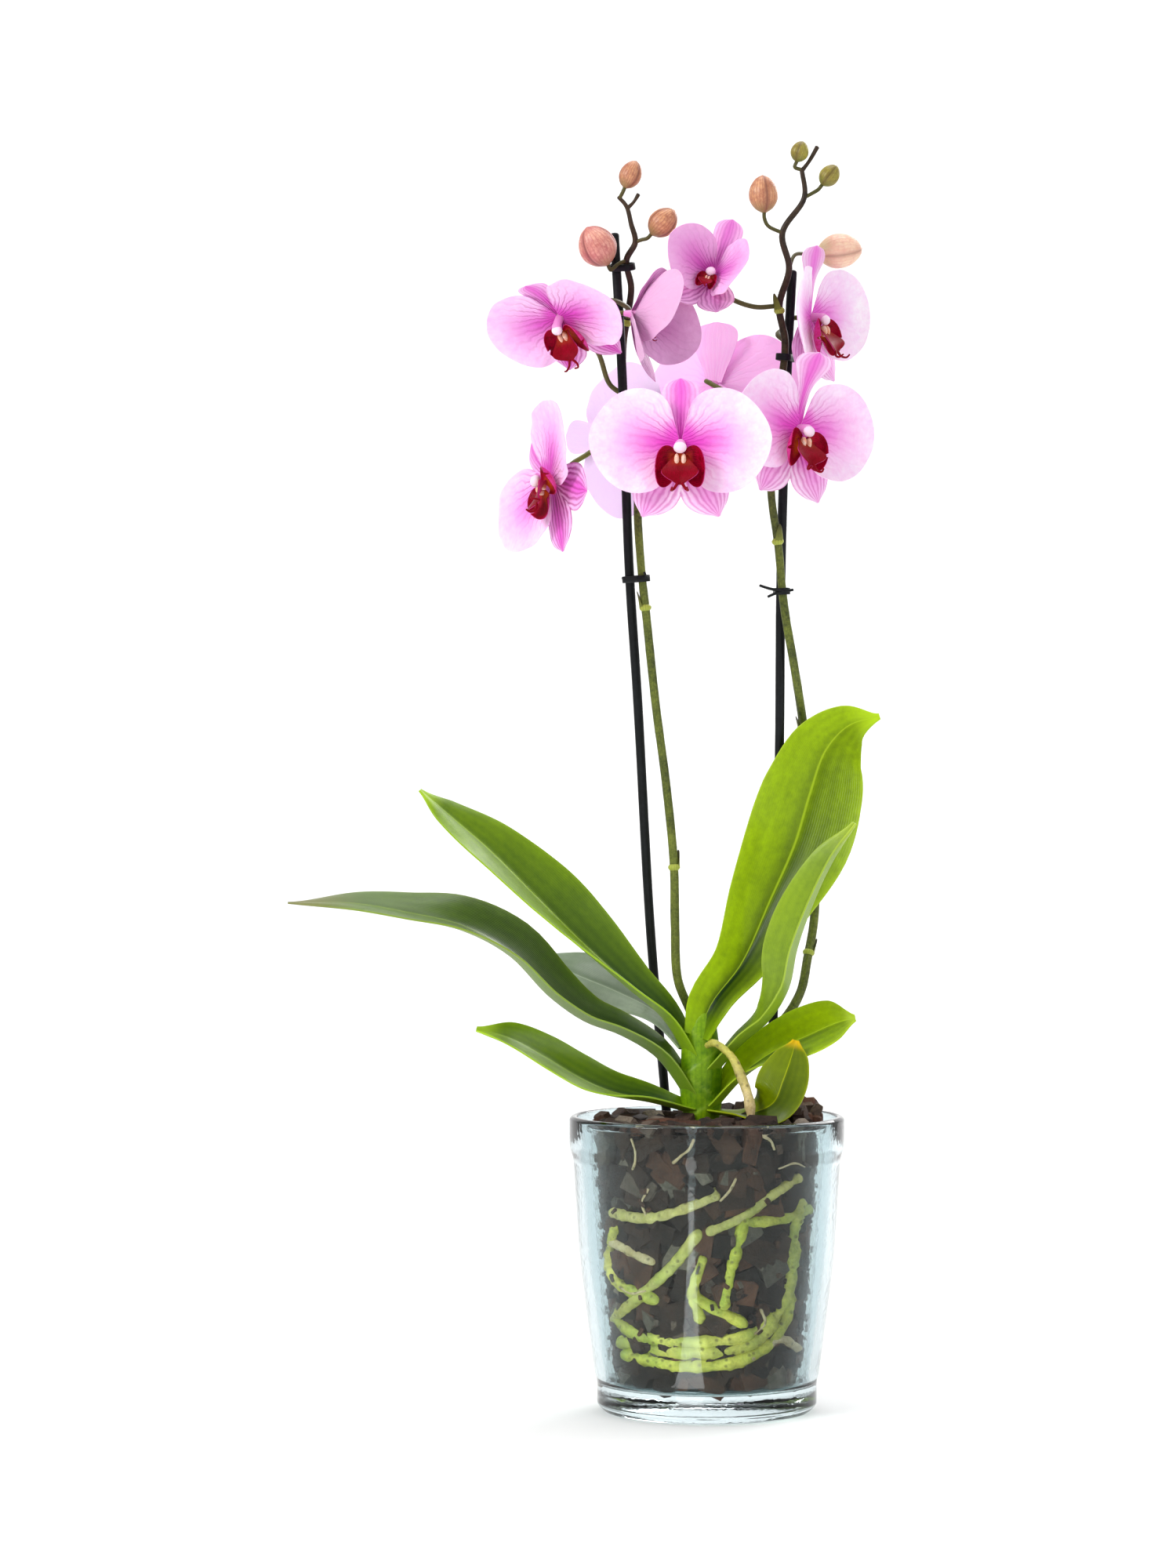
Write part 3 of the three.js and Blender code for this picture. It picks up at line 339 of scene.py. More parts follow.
def mottled(tree, low, high, patch, grain, depth):
    """The mottle between two colours. patch and grain are its coarse and fine spots to the metre."""
    given = {"Low": low, "High": high, "Patch": patch, "Grain": grain, "Depth": depth}
    return put(tree, "Group", given, node_tree=MOTTLE).outputs


def tint_parts(tree):
    """The numbers that each point carries."""
    tint = put(tree, "Attribute", attribute_name="Tint", attribute_type="GEOMETRY")
    parts = put(tree, "SeparateColor", {0: tint.outputs["Color"]})
    return parts.outputs[0], parts.outputs[1], parts.outputs[2]


BARK_TOP = 147
CORE_FOOT, CORE_SHOULDER, CORE_TOP, CORE_SIDES = 15.8, 143, 145, 96
CORE_INSET = 6.4
CORE_SHADE = 0.16
CORE_ROUGHNESS = 1.6
NOISE_PITCH = 0.16
WALL_CHIP_ROWS, WALL_CHIPS_A_ROW, WALL_CHIPS_FROM, WALL_CHIPS_RISE = 18, 29, 20, 123
WALL_CHIP_INSET, WALL_CHIP_STAGGER = 5.2, 2.2
CRUMBS, CRUMBS_FROM, CRUMBS_RISE, CRUMB_INSET = 110, 18, 122, 1.1
TOP_CHIPS, TOP_REACH, STEM_REACH = 210, 56, 13
# On the right the chips are piled higher against the wall
PILE_ANGLE, PILE_FROM, PILE_RISE = 0.35, 24, 7.2
HEAP, HEAP_MIDDLE, HEAP_RADIUS, HEAP_HEIGHT = 110, Vector((45, 4, 0)), 16, 13
# Length, width and thickness of the chips, each as the least and what chance adds
WALL_CHIP = ((9, 10), (7, 6), (3.5, 3.5))
TOP_CHIP = ((6, 9), (5, 5), (3, 3))
HEAP_CHIP = ((5, 6), (4, 4), (2.5, 2.5))
# Share of the chips up to which each kind counts, its least shade and what chance adds: dark, red and grey
CHIP_KINDS = ((0.62, 0, 0.5), (0.85, 0.5, 0.24), (1, 0.8, 0.2))
CHIP_SEED = 12
# Shades of bark from wet and dark to dry and grey, with the reddest between
BARK_SHADES = [
    (0.0, "#2A1D18"), (0.3, "#3C2A22"), (0.55, "#523A2E"), (0.72, "#6E4634"), (0.86, "#6C6056"),
    (1.0, "#8E7E6E"),
]


def bark_material():
    """Tint: the chip's shade."""
    made, tree, shader = material("damp bark")
    shade, _, _ = tint_parts(tree)
    lighter = ramped(tree, shade, [(place, rgb(code)) for place, code in BARK_SHADES])
    darker = toned(tree, lighter, 0.4, 0.95)
    mottle = mottled(tree, darker, lighter, 90.0, 700.0, 1.0)
    feed(tree, shader, {
        "Base Color": mottle["Color"],
        "Normal": bumped(tree, mottle["Height"], 0.8, 0.0009),
        "Roughness": 0.78,
        "Specular IOR Level": 0.35,
    })
    return made


def chip(form, centre, turn, size, shade, draw, limit):
    """A broken flake of bark: an uneven slab with knocked-off corners. limit(z) is the wall's radius."""
    points = []
    for x, y, z in [(a, b, c) for a in (-1, 1) for b in (-1, 1) for c in (-1, 1)]:
        for axis in range(3):
            corner = [x, y, z]
            corner[axis] *= 0.62 + 0.2 * draw.random()
            p = Vector([corner[k] * size[k] / 2 * (0.85 + 0.3 * draw.random()) for k in range(3)])
            p = turn @ p + centre
            reach = math.hypot(p.x, p.y)
            if reach > limit(p.z):
                p = Vector((p.x * limit(p.z) / reach, p.y * limit(p.z) / reach, p.z))
            points.append(tuple(p))
    hull = bmesh.new()
    for p in points:
        hull.verts.new(p)
    made = bmesh.ops.convex_hull(hull, input=hull.verts)
    loose = [v for v in made["geom_interior"] if isinstance(v, bmesh.types.BMVert)]
    bmesh.ops.delete(hull, geom=loose, context="VERTS")
    hull.verts.index_update()
    corners = [tuple(v.co) for v in hull.verts]
    faces = [tuple(v.index for v in f.verts) for f in hull.faces]
    hull.free()
    form.add(corners, faces, [(0.5, 0.5)] * len(corners), (shade, 0, 0, 1))


def chip_shade(draw):
    """Most chips are dark, some are redder and a few are grey."""
    kind = draw.random()
    least, more = next((least, more) for share, least, more in CHIP_KINDS if kind < share)
    return least + more * draw.random()


def chip_size(draw, sizes):
    """The length, width and thickness of one chip."""
    return tuple(least + more * draw.random() for least, more in sizes)


def lying(draw, steepest):
    """Turned any way round, and tipped up by chance."""
    spin = Matrix.Rotation(math.tau * draw.random(), 3, "Z")
    return spin @ Matrix.Rotation(steepest * draw.random(), 3, "X")


def on_a_wall(angle, draw):
    """Flat against the pot's side: x along the wall, y up it, z into it."""
    out = Matrix.Rotation(angle, 3, "Z") @ Matrix(((0, 0, 1), (1, 0, 0), (0, 1, 0)))
    spin = Matrix.Rotation(math.tau * draw.random(), 3, "Z")
    tilt = Matrix.Rotation(0.35 * (draw.random() - 0.5), 3, "X")
    return out @ spin @ tilt


def off_wall(gap, highest=math.inf):
    """How far out chips may reach at a height, to leave a gap to the clear pot."""
    return lambda z: liner_radius(min(z, highest)) - gap


bark = Form()
core = [(0, CORE_FOOT), (liner_radius(16) - 12, CORE_FOOT)]
core += [(liner_radius(z) - CORE_INSET - 3 * (z < 20), z) for z in range(19, 140, 4)]
core += [(liner_radius(140) - 9, CORE_SHOULDER), (liner_radius(140) - 22, CORE_TOP - 0.5), (0, CORE_TOP)]
turned(bark, core, CORE_SIDES, (CORE_SHADE, 0, 0, 1))
for i, (x, y, z) in enumerate(bark.points):
    rough = CORE_ROUGHNESS * noise.noise(Vector((x, y, z)) * NOISE_PITCH)
    reach = math.hypot(x, y)
    if reach > 1:
        bark.points[i] = (x * (1 + rough / reach), y * (1 + rough / reach), z + (rough if z > 140 else 0))
draw = random.Random(CHIP_SEED)
for row in range(WALL_CHIP_ROWS):
    for k in range(WALL_CHIPS_A_ROW):
        z = WALL_CHIPS_FROM + WALL_CHIPS_RISE * (row + 0.8 * draw.random()) / WALL_CHIP_ROWS
        angle = math.tau * (k + 0.9 * draw.random()) / WALL_CHIPS_A_ROW
        reach = liner_radius(z) - WALL_CHIP_INSET - WALL_CHIP_STAGGER * draw.random() - (2 if z < 26 else 0)
        size = chip_size(draw, WALL_CHIP)
        centre = Vector(polar(reach, angle, z))
        chip(bark, centre, on_a_wall(angle, draw), size, chip_shade(draw), draw, off_wall(1.2))
for k in range(TOP_CHIPS):
    angle = math.tau * draw.random()
    reach = TOP_REACH * math.sqrt(draw.random())
    piled = PILE_RISE if math.cos(angle - PILE_ANGLE) > 0.6 and reach > PILE_FROM else 0
    z = BARK_TOP - 3.5 + 4 * draw.random() + piled * draw.random()
    if reach < STEM_REACH:
        continue
    turn = lying(draw, 1.1)
    size = chip_size(draw, TOP_CHIP)
    centre = Vector(polar(reach, angle, z))
    chip(bark, centre, turn, size, chip_shade(draw), draw, off_wall(0.6, CORE_SHOULDER))
for k in range(HEAP):
    angle, off = math.tau * draw.random(), HEAP_RADIUS * math.sqrt(draw.random())
    z = BARK_TOP - 2 + HEAP_HEIGHT * (1 - (off / HEAP_RADIUS) ** 2) * draw.random() ** 0.5
    turn = lying(draw, 1.4)
    size = chip_size(draw, HEAP_CHIP)
    centre = HEAP_MIDDLE + Vector(polar(off, angle, z))
    chip(bark, centre, turn, size, 0.25 + 0.6 * draw.random(), draw, off_wall(0.6, CORE_SHOULDER))
for k in range(CRUMBS):
    z, angle = CRUMBS_FROM + CRUMBS_RISE * draw.random(), math.tau * draw.random()
    centre = Vector(polar(liner_radius(z) - CRUMB_INSET, angle, z))
    size = (1.5 + 3.5 * draw.random() ** 2, 1.2 + 2 * draw.random(), 1.4)
    chip(bark, centre, on_a_wall(angle, draw), size, 0.35 + 0.5 * draw.random(), draw, off_wall(0.25))
bark.piece("bark_chips", bark_material(), "bark", "bark_medium", crease=28)

# ---------------------------------------------------------------------------------------------------------
# Roots: fleshy orchid roots wrapped in a spongy skin, yellow-green where it is wet, tan where it is dry. They
# grow from the stock under the crown and run round the wall; one leaves the crown through the air.
STOCK_X = -3
STOCK = [(STOCK_X, 0, 141.7, 6), (STOCK_X, 0, 128, 6), (STOCK_X, 0, 86, 4)]
AERIAL_ROOT = [
    (-1, -5, 185.5, 1.5), (4, -13.5, 187.5, 1.8), (12, -17, 181, 2.1), (16, -20.5, 173, 2.3),
    (20, -26, 162, 2.4), (21.5, -29.5, 151, 2.4), (21.5, -29, 140, 2),
]
# Side of the pot, radius, tint (0 green to 1 tan), height where the stock feeds it, and [x, z] on the wall
WALL_ROOTS = [
    (-1, 3.7, 0.15, 118, [(45, 108), (41.3, 95), (39, 67), (31, 51), (20, 40), (-10, 36), (-40, 38)]),
    (-1, 3.6, 0.05, None, [(39, 62), (35, 47), (18, 33), (-12, 29), (-38, 32)]),
    (-1, 3, 0.1, 104, [(-46, 94), (-48, 76), (-43, 67), (-27, 62)]),
    (-1, 2.5, 0.85, None, [(-47, 88), (-29, 81)]),
    (-1, 2.9, 0.3, 113, [(-6, 95), (-18, 79), (-37, 59), (-45, 50)]),
    (-1, 2.8, 0.1, 92, [(-3.5, 82), (-8, 66), (-5, 54)]),
    (-1, 3, 0.0, None, [(-7, 63), (15, 51)]),
    (-1, 3, 0.0, None, [(17, 103), (12, 84), (7, 61)]),
    (-1, 2.6, 0.1, None, [(17, 101), (34, 101), (49, 104)]),
    (-1, 2.6, 0.5, 130, [(3, 114), (-17, 106), (-32, 102), (-46, 103)]),
    (-1, 2.4, 0.4, 134, [(44, 121), (34, 116), (15, 103), (1, 97)]),
    (-1, 2.2, 0.95, None, [(20, 33), (34, 41), (43, 35)]),
    (-1, 3.1, 0.12, None, [(30, 52), (17, 44), (-8, 41), (-34, 43), (-44, 49)]),
    (1, 3, 0.2, 126, [(-40, 120), (-30, 96), (-34, 70), (-20, 48), (10, 38), (36, 40)]),
    (1, 2.8, 0.6, 117, [(8, 112), (14, 90), (6, 62)]),
    (1, 2.8, 0.3, 108, [(44, 104), (47, 84), (42, 54)]),
]
# Thin dry rootlets that lie on the front of the wall, as [x, z]
ROOTLET_RADIUS = 0.6
ROOTLETS = [
    [(-8, 142), (-10.5, 137), (-18, 132)], [(26, 143), (29.5, 141), (31.5, 136.5)],
    [(12.7, 123), (9.5, 117), (5, 112)], [(-38, 141), (-36, 134), (-37.5, 127)],
    [(34, 128), (42, 131), (47, 128)], [(-30, 117), (-33, 110), (-31, 104)],
    [(-46, 68), (-38, 64), (-31, 66)], [(22, 45), (27, 50), (25, 57)],
]


def within(value, low=0.0, high=1.0):
    """Holds a value between two limits."""
    return min(max(value, low), high)


def eased(start, leaving, end, arriving, u):
    """Runs from start to end as u goes from 0 to 1, with the slopes leaving and arriving at its ends."""
    u2, u3 = u * u, u * u * u
    return (start * (2 * u3 - 3 * u2 + 1) + leaving * (u3 - 2 * u2 + u)
            + end * (3 * u2 - 2 * u3) + arriving * (u3 - u2))


def curve_point(points, t):
    """A place on the centripetal Catmull-Rom curve through the points, t from 0 to 1."""
    place = within(t) * (len(points) - 1)
    i = min(int(place), len(points) - 2)
    u = place - i
    b, c = Vector(points[i][:3]), Vector(points[i + 1][:3])
    a = Vector(points[i - 1][:3]) if i > 0 else b * 2 - c
    d = Vector(points[i + 2][:3]) if i + 2 < len(points) else c * 2 - b
    gaps = [max((q - p).length, 1e-8) ** 0.5 for p, q in ((a, b), (b, c), (c, d))]
    m1 = ((b - a) / gaps[0] - (c - a) / (gaps[0] + gaps[1]) + (c - b) / gaps[1]) * gaps[1]
    m2 = ((c - b) / gaps[1] - (d - b) / (gaps[1] + gaps[2]) + (d - c) / gaps[2]) * gaps[1]
    return eased(b, m1, c, m2, u)


def heading(points, t, step=2e-3):
    """The way the curve runs at t."""
    return (curve_point(points, t + step) - curve_point(points, t - step)).normalized()


def between(values, t):
    """A smooth value between evenly spaced ones."""
    place = within(t) * (len(values) - 1)
    i = min(int(place), len(values) - 2)
    u = place - i
    b, c = values[i], values[i + 1]
    a = values[i - 1] if i else b
    d = values[i + 2] if i + 2 < len(values) else c
    return eased(b, (c - a) / 2, c, (d - b) / 2, u)


DOME = [(0.35, 0.93), (0.7, 0.71), (0.93, 0.37)]  # how far beyond the end, and how wide, in radii


def tube(form, points, sides, steps, tint, knots=0.0, taper=(0.55, 0.55)):
    """A round stem through [x, y, z, radius] points, with domed ends. knots makes it uneven, and taper is how
    far the domes reach."""
    count = (len(points) - 1) * steps
    stations = [(i / count, 1.0, 0.0) for i in range(count + 1)]
    start = [(0.0, wide, -back * taper[0]) for back, wide in reversed(DOME)]
    end = [(1.0, wide, back * taper[1]) for back, wide in DOME]
    radii = [p[3] for p in points]
    across, rows, places = None, [], []
    for t, wide, beyond in start + stations + end:
        along = heading(points, t)
        if across is None:
            across = Vector((0, 1, 0)) if abs(along.y) < 0.9 else Vector((1, 0, 0))
        across = (across - along * across.dot(along)).normalized()
        over = along.cross(across)
        centre = curve_point(points, t)
        radius = between(radii, t)
        centre = centre + along * beyond * radius
        knot = noise.noise(centre * NOISE_PITCH) + 0.6 * noise.noise(centre * 0.5)
        radius *= wide * (1 + knots * knot)
        for j in range(sides):
            angle = math.tau * j / sides
            rows.append(tuple(centre + across * radius * math.cos(angle) + over * radius * math.sin(angle)))
            places.append((j / sides, t))
    form.add(rows, ring_faces(len(rows) // sides, sides), places, tint)


def on_wall(x, z, side, radius):
    """A root's place against the clear pot, on its front (-1) or its back (1)."""
    reach = liner_radius(z) - radius - 0.6
    x = within(x, -0.995 * reach, 0.995 * reach)
    return (x, side * math.sqrt(reach * reach - x * x), z, radius)


def root_material():
    """Tint: how tan and dry the root is."""
    made, tree, shader = material("root skin")
    tan, _, _ = tint_parts(tree)
    hue = mottled(tree, "#B0BC3E", "#F0E05C", 16.0, 60.0, 1.0)
    darker = toned(tree, hue["Color"], 0.5, 1.05)
    wet = mottled(tree, darker, hue["Color"], 150.0, 700.0, 1.0)
    old = mottled(tree, "#A98A63", "#E0C7A4", 120.0, 900.0, 1.0)
    skin = mixed(tree, tan, wet["Color"], old["Color"])
    where = put(tree, "TexCoord").outputs["Object"]
    specks = put(tree, "TexVoronoi", {"Vector": where, "Scale": 240.0})
    speck = ranged(tree, specks.outputs["Distance"], (0.12, 0.3), (0.7, 0.0))
    spotted = mixed(tree, speck, skin, "#57451F")
    feed(tree, shader, {
        "Base Color": spotted,
        "Normal": bumped(tree, wet["Height"], 0.45, 0.0005),
        "Roughness": 0.55,
        "Subsurface Weight": 0.12,
        "Subsurface Radius": (0.003, 0.003, 0.001),
    })
    return made


DRY, KNOTTED = (0.95, 0, 0, 1), 0.34
root_skin = root_material()
roots = Form()
tube(roots, STOCK, 16, 8, (0.5, 0, 0, 1), 0.1)
for side, radius, tan, fed, route in WALL_ROOTS:
    wall = [on_wall(x, z, side, radius) for x, z in route]
    tube(roots, wall, 18, 16, (tan, 0, 0, 1), KNOTTED, (0.8, 1.4))
    if fed:
        x, y, z, _ = wall[0]
        thin = 0.9 * radius
        feeder = [(STOCK_X, 0, fed, thin), (0.6 * x, 0.6 * y, (z + fed) / 2 + 2, thin), (x, y, z, thin)]
        tube(roots, feeder, 10, 5, (tan, 0, 0, 1), 0.1)
for route in ROOTLETS:
    tube(roots, [on_wall(x, z, -1, ROOTLET_RADIUS) for x, z in route], 8, 8, DRY, 0.5)
roots.piece("wall_roots", root_skin, "root", "roots")
aerial = Form()
tube(aerial, AERIAL_ROOT, 16, 8, PLAIN, 0.3)
# Green by the crown, and drier on the way down
GREEN_ABOVE, DRIES_OVER = 190, 45
aerial.tints = [(within((GREEN_ABOVE - z) / DRIES_OVER, 0.15), 0, 0, 1) for x, y, z in aerial.points]
aerial.piece("air_root", root_skin, "root", "aerial_root")

# ---------------------------------------------------------------------------------------------------------
# Crown: the short upright stem, hidden in the folded feet of old and living leaves. Each foot wraps halfway
# round it, alternately left and right, with a thin dry edge where an older leaf has come away.
CROWN_FOOT = 142
CROWN = [
    (-3, 0, CROWN_FOOT, 6.4), (-3, 0, 152, 7.8), (-3, 0, 168, 8.6), (-3, 0.5, 186, 7.8), (-3, 1, 200, 5.6),
    (-3, 1, 208, 3),
]
CROWN_SPREAD = 1.25  # it is wider from left to right, the way the leaves part
SHEATH_PITCH, SHEATH_SLANT, SHEATH_STEP = 24, 0.32, 0.13
CROWN_RINGS, CROWN_SIDES = 90, 40


def vein_group():
    """Fine lines that run along a blade, from its place across and along."""
    tree, given, out = group(
        "lengthwise veins",
        {"Count": "Float", "Waver": "Float", "Width": "Float"},
        {"Veins": "Float", "Across": "Float", "Along": "Float"},
    )
    place = put(tree, "UVMap", uv_map="Place").outputs[0]
    parts = put(tree, "SeparateXYZ", {0: place})
    wander = put(tree, "TexNoise", {"Vector": place, "Scale": 5.0, "Detail": 3.0})
    centred = worked(tree, "SUBTRACT", wander.outputs[0], 0.5)
    shift = worked(tree, "MULTIPLY", centred, given["Waver"])
    moved = worked(tree, "ADD", parts.outputs[0], shift)
    turns = worked(tree, "MULTIPLY", moved, given["Count"])
    saw = worked(tree, "PINGPONG", turns, 0.5)
    line = ranged(tree, saw, (0.0, given["Width"]), (1.0, 0.0), smooth=True)
    feed(tree, out, {"Veins": line, "Across": parts.outputs[0], "Along": parts.outputs[1]})
    return tree


VEINS = vein_group()


def veining(tree, count, waver, width):
    """The veins: how many, how far they wander, and their width as a share of the gap between two."""
    return put(tree, "Group", {"Count": count, "Waver": waver, "Width": width}, node_tree=VEINS).outputs


def crown_material():
    """Tint: how near a sheath's dry edge."""
    made, tree, shader = material("leaf sheaths")
    edge, _, _ = tint_parts(tree)
    veins = veining(tree, 24.0, 0.01, 0.3)
    green = mottled(tree, "#4C7800", "#86AC06", 40.0, 300.0, 0.6)
    soft = worked(tree, "MULTIPLY", veins["Veins"], 0.25)
    lined = mixed(tree, soft, green["Color"], "#446C00")
    dry = mixed(tree, edge, lined, "#A3BC3E")
    feed(tree, shader, {
        "Base Color": dry,
        "Normal": bumped(tree, veins["Veins"], 0.12, 0.0003),
        "Specular IOR Level": 0.25,
        "Roughness": 0.42,
    })
    return made


crown = Form()
crown_rows, crown_places, crown_tints = [], [], []
for i in range(CROWN_RINGS + 1):
    t = i / CROWN_RINGS
    centre = curve_point(CROWN, t)
    radius = between([p[3] for p in CROWN], t)
    for j in range(CROWN_SIDES):
        angle = math.tau * j / CROWN_SIDES
        # Sheaths from the left and the right overlap, with rims that slant down away from their leaf
        risen, slant = (centre.z - CROWN_FOOT) / SHEATH_PITCH, SHEATH_SLANT * math.cos(angle)
        layer = max((risen + slant) % 1, (risen + 0.5 - slant) % 1)
        reach = radius * (0.93 + SHEATH_STEP * layer)
        across = CROWN_SPREAD * reach * math.cos(angle)
        crown_rows.append((centre.x + across, centre.y + reach * math.sin(angle), centre.z))
        crown_places.append((j / CROWN_SIDES, t))
        crown_tints.append((max(0, layer - 0.9) * 3, 0, 0, 1))
crown.add(crown_rows, ring_faces(CROWN_RINGS + 1, CROWN_SIDES), crown_places, crown_tints)
crown.piece("sheathed_crown", crown_material(), "leaf", "crown")

# ---------------------------------------------------------------------------------------------------------
# Leaves: thick, leathery blades, folded along a sunken midrib, glossy on top and paler and duller below, with
# a thin pale edge. They grow from the crown left and right, the youngest light green.
LEAF_THICKNESS, LEAF_RIM = 1.8, 0.45
FOLD_EASE = 0.012  # rounds the fold along the midrib
LEAF_WAVE = 0.9
# spine is [x, y, z, half width] from the crown to the tip, side the widthwise direction at the foot, the
# middle and the tip, fold how many degrees both halves rise from the midrib at the foot and at the tip, and
# look the leaf's colours
LEAVES = {
    "leaf_upright": dict(
        spine=[(-4, -3, 190, 9), (2, -2.5, 206, 13.5), (18, 3, 227, 17), (33, 10, 259, 25), (46, 15, 288, 30),
               (54, 19, 314, 28), (62, 22, 336, 21), (74, 25, 349, 12), (90, 27, 354, 1.5)],
        side=[(0.95, -0.3, 0), (1, 0, -0.3), (0.6, 0.1, -0.8)], fold=(40, 12), look="sunlit"),
    "leaf_folded": dict(
        spine=[(4, -2, 172, 8), (17, -6.5, 187, 9.5), (31, -14, 200, 11), (40, -20, 216, 15),
               (44, -24, 236, 18), (51, -28, 257, 17), (62, -31, 281, 11), (74, -33, 299, 1.5)],
        side=[(0.1, -1, 0.2), (0.45, -0.9, 0), (0.6, -0.8, 0.2)], fold=(35, 48), look="light"),
    "leaf_right": dict(
        spine=[(4, -1, 154, 10), (19, -4, 171, 14), (35, -8, 183, 17), (52, -12, 191, 19), (65, -14, 197, 15),
               (75, -15, 200, 2.5)],
        side=[(0, -0.95, -0.3), (0.1, -0.75, -0.6), (0.1, -0.75, -0.6)], fold=(36, 8), look="warm"),
    "leaf_young": dict(
        spine=[(2, -5.5, 152, 4.5), (20, -17, 151.5, 7), (33, -25, 158, 12), (38, -28.5, 170, 13.5),
               (42, -29, 182, 9), (44, -28, 190, 1.5)],
        side=[(-0.3, -0.8, 0), (0.9, -0.3, -0.2), (1, 0, -0.2)], fold=(20, 14), look="young"),
    "leaf_upper_left": dict(
        spine=[(-8, 0, 177, 9), (-22, -1, 200, 13), (-40, -3, 216, 18), (-62, -5, 236, 24),
               (-86, -7, 260, 26), (-112, -8, 286, 20), (-134, -8, 305, 10), (-146, -8, 316, 1.5)],
        side=[(0, 0.95, 0.3), (0.1, 0.8, 0.6), (0.2, 0.75, 0.6)], fold=(44, 8), look="mid"),
    "leaf_far_left": dict(
        spine=[(-9, -1, 158, 9), (-25, -3, 180, 12.5), (-44, -4, 192, 15), (-62, -6, 199, 18),
               (-80, -9, 212, 22), (-100, -12, 233, 24), (-125, -16, 247, 23), (-150, -19, 253, 19),
               (-178, -22, 258, 13), (-212, -24, 259, 1.5)],
        side=[(0, 0.97, 0.2), (0.1, 0.93, 0.35), (0, 0.95, 0.3)], fold=(44, 10), look="deep"),
    "leaf_lower_left": dict(
        spine=[(-8, -2, 152, 7), (-29, -7, 158, 10.5), (-48, -11, 162, 14), (-64, -15, 169, 17),
               (-82, -19, 180, 17), (-100, -22, 190, 12), (-117, -24, 195, 1.5)],
        side=[(0, 1, 0.25), (0.1, 0.9, 0.45), (0.1, 0.9, 0.45)], fold=(36, 10), look="mid"),
    "leaf_back": dict(
        spine=[(-11.5, 4.5, 184, 4), (-24, 17, 200, 7.5), (-45, 31, 211, 13), (-68, 45, 220, 13),
               (-90, 55, 230, 1.5)],
        side=[(0.3, 0.7, 0.6), (0.3, 0.5, 0.8), (0.2, 0.5, 0.8)], fold=(22, 10), look="grey"),
}
# Upper face (shade, light), underside, midrib, tip, how much the skin mirrors, and how far across its painted
# shade begins; the shade colour is also the painted shade on the half behind the midrib
LEAF_LOOKS = {
    "deep": ("#1C3608", "#5E7E14", "#6A7E2C", "#94AC38", "#7C7A48", 0.4, 0.46),
    "mid": ("#1E3E00", "#80A404", "#74902A", "#A4C62C", "#A4C62C", 0.18, 0.46),
    # Painted light: the sunlit and warm looks are lighter copies of the leaf colours, for leaves in full
    # light
    "sunlit": ("#0E2A00", "#A2C600", "#74922A", "#B0CC2A", "#B8DC1E", 0.12, 0.3),
    "warm": ("#224600", "#A8C800", "#7A982A", "#B8D42A", "#B0CC2A", 0.12, 0.46),
    "light": ("#2A4E00", "#86A414", "#7A9834", "#ACC43C", "#ACC43C", 0.3, 0.46),
    "young": ("#2E4200", "#728600", "#7C8E10", "#B4BC10", "#E0B40C", 0.14, 0.46),
    # Painted reflection: the grey look's grey-green colours stand in for the sheen on a blade that points
    # away
    "grey": ("#4E6048", "#84967A", "#8E9E82", "#A2B096", "#8E9E82", 0.4, 0.46),
}


def lengthwise(t, v):
    """Veins that run straight along a blade."""
    return (v + 1) / 2, t


def blade(form, surface, rows, columns, thickness, rim, tint, place=lengthwise):
    """A thin closed blade. surface(t, v) is its middle, rim the edge's thickness as a share of the middle's.
    tint(t, v, back) gives each point its numbers, with back 0 on the first face and 1 on the second, and
    place(t, v) its place across and along, which the veins follow."""
    grid = [[surface(t, v) for v in columns] for t in rows]
    high, wide = len(rows), len(columns)
    faces_of = [[], []]
    last_normal = Vector((0, 0, 1))
    for i in range(high):
        for j in range(wide):
            along = grid[min(i + 1, high - 1)][j] - grid[max(i - 1, 0)][j]
            across = grid[i][min(j + 1, wide - 1)] - grid[i][max(j - 1, 0)]
            normal = along.cross(across)
            last_normal = normal.normalized() if normal.length > 1e-5 else last_normal
            edge = max(abs(columns[j]) ** 3, max(0.0, rows[i] - 0.9) * 9)
            half = 0.5 * thickness * (1 - (1 - rim) * min(edge, 1))
            faces_of[0].append(grid[i][j] + last_normal * half)
            faces_of[1].append(grid[i][j] - last_normal * half)
    size = high * wide
    faces = []
    for i in range(high - 1):
        for j in range(wide - 1):
            a, b, c, d = i * wide + j, i * wide + j + 1, (i + 1) * wide + j, (i + 1) * wide + j + 1
            faces += [(a, c, d, b), (a + size, b + size, d + size, c + size)]
    border = [(i * wide, (i + 1) * wide) for i in range(high - 1)]
    border += [((i + 2) * wide - 1, (i + 1) * wide - 1) for i in range(high - 1)]
    border += [(j + 1, j) for j in range(wide - 1)]
    border += [((high - 1) * wide + j, (high - 1) * wide + j + 1) for j in range(wide - 1)]
    faces += [(b, a, a + size, b + size) for a, b in border]
    places = [place(t, v) for t in rows for v in columns] * 2
    tints = [tint(t, v, back) for back in (0, 1) for t in rows for v in columns]
    form.add([tuple(p) for p in faces_of[0] + faces_of[1]], faces, places, tints)


def leaf_surface(spine, side, fold):
    """The middle of a leaf's blade, folded along its midrib and gently waved."""
    widths = [p[3] for p in spine]

    def surface(t, v):
        along = heading(spine, t, 1e-3)
        part = 0 if t < 0.5 else 1
        across = Vector(side[part]).lerp(Vector(side[part + 1]), 2 * t - part)
        across = (across - along * across.dot(along)).normalized()
        up = across.cross(along)
        width = between(widths, t)
        rise = math.radians(fold[0] + (fold[1] - fold[0]) * t)
        lift = math.sqrt(v * v + FOLD_EASE) - math.sqrt(FOLD_EASE)
        ripple = LEAF_WAVE * v * v * math.sin(9 * t + 3 * v + 2 * fold[0]) * min(1, 4 * t)
        return (curve_point(spine, t) + across * (v * width * math.cos(rise))
                + up * (lift * width * math.sin(rise) + ripple))

    return surface


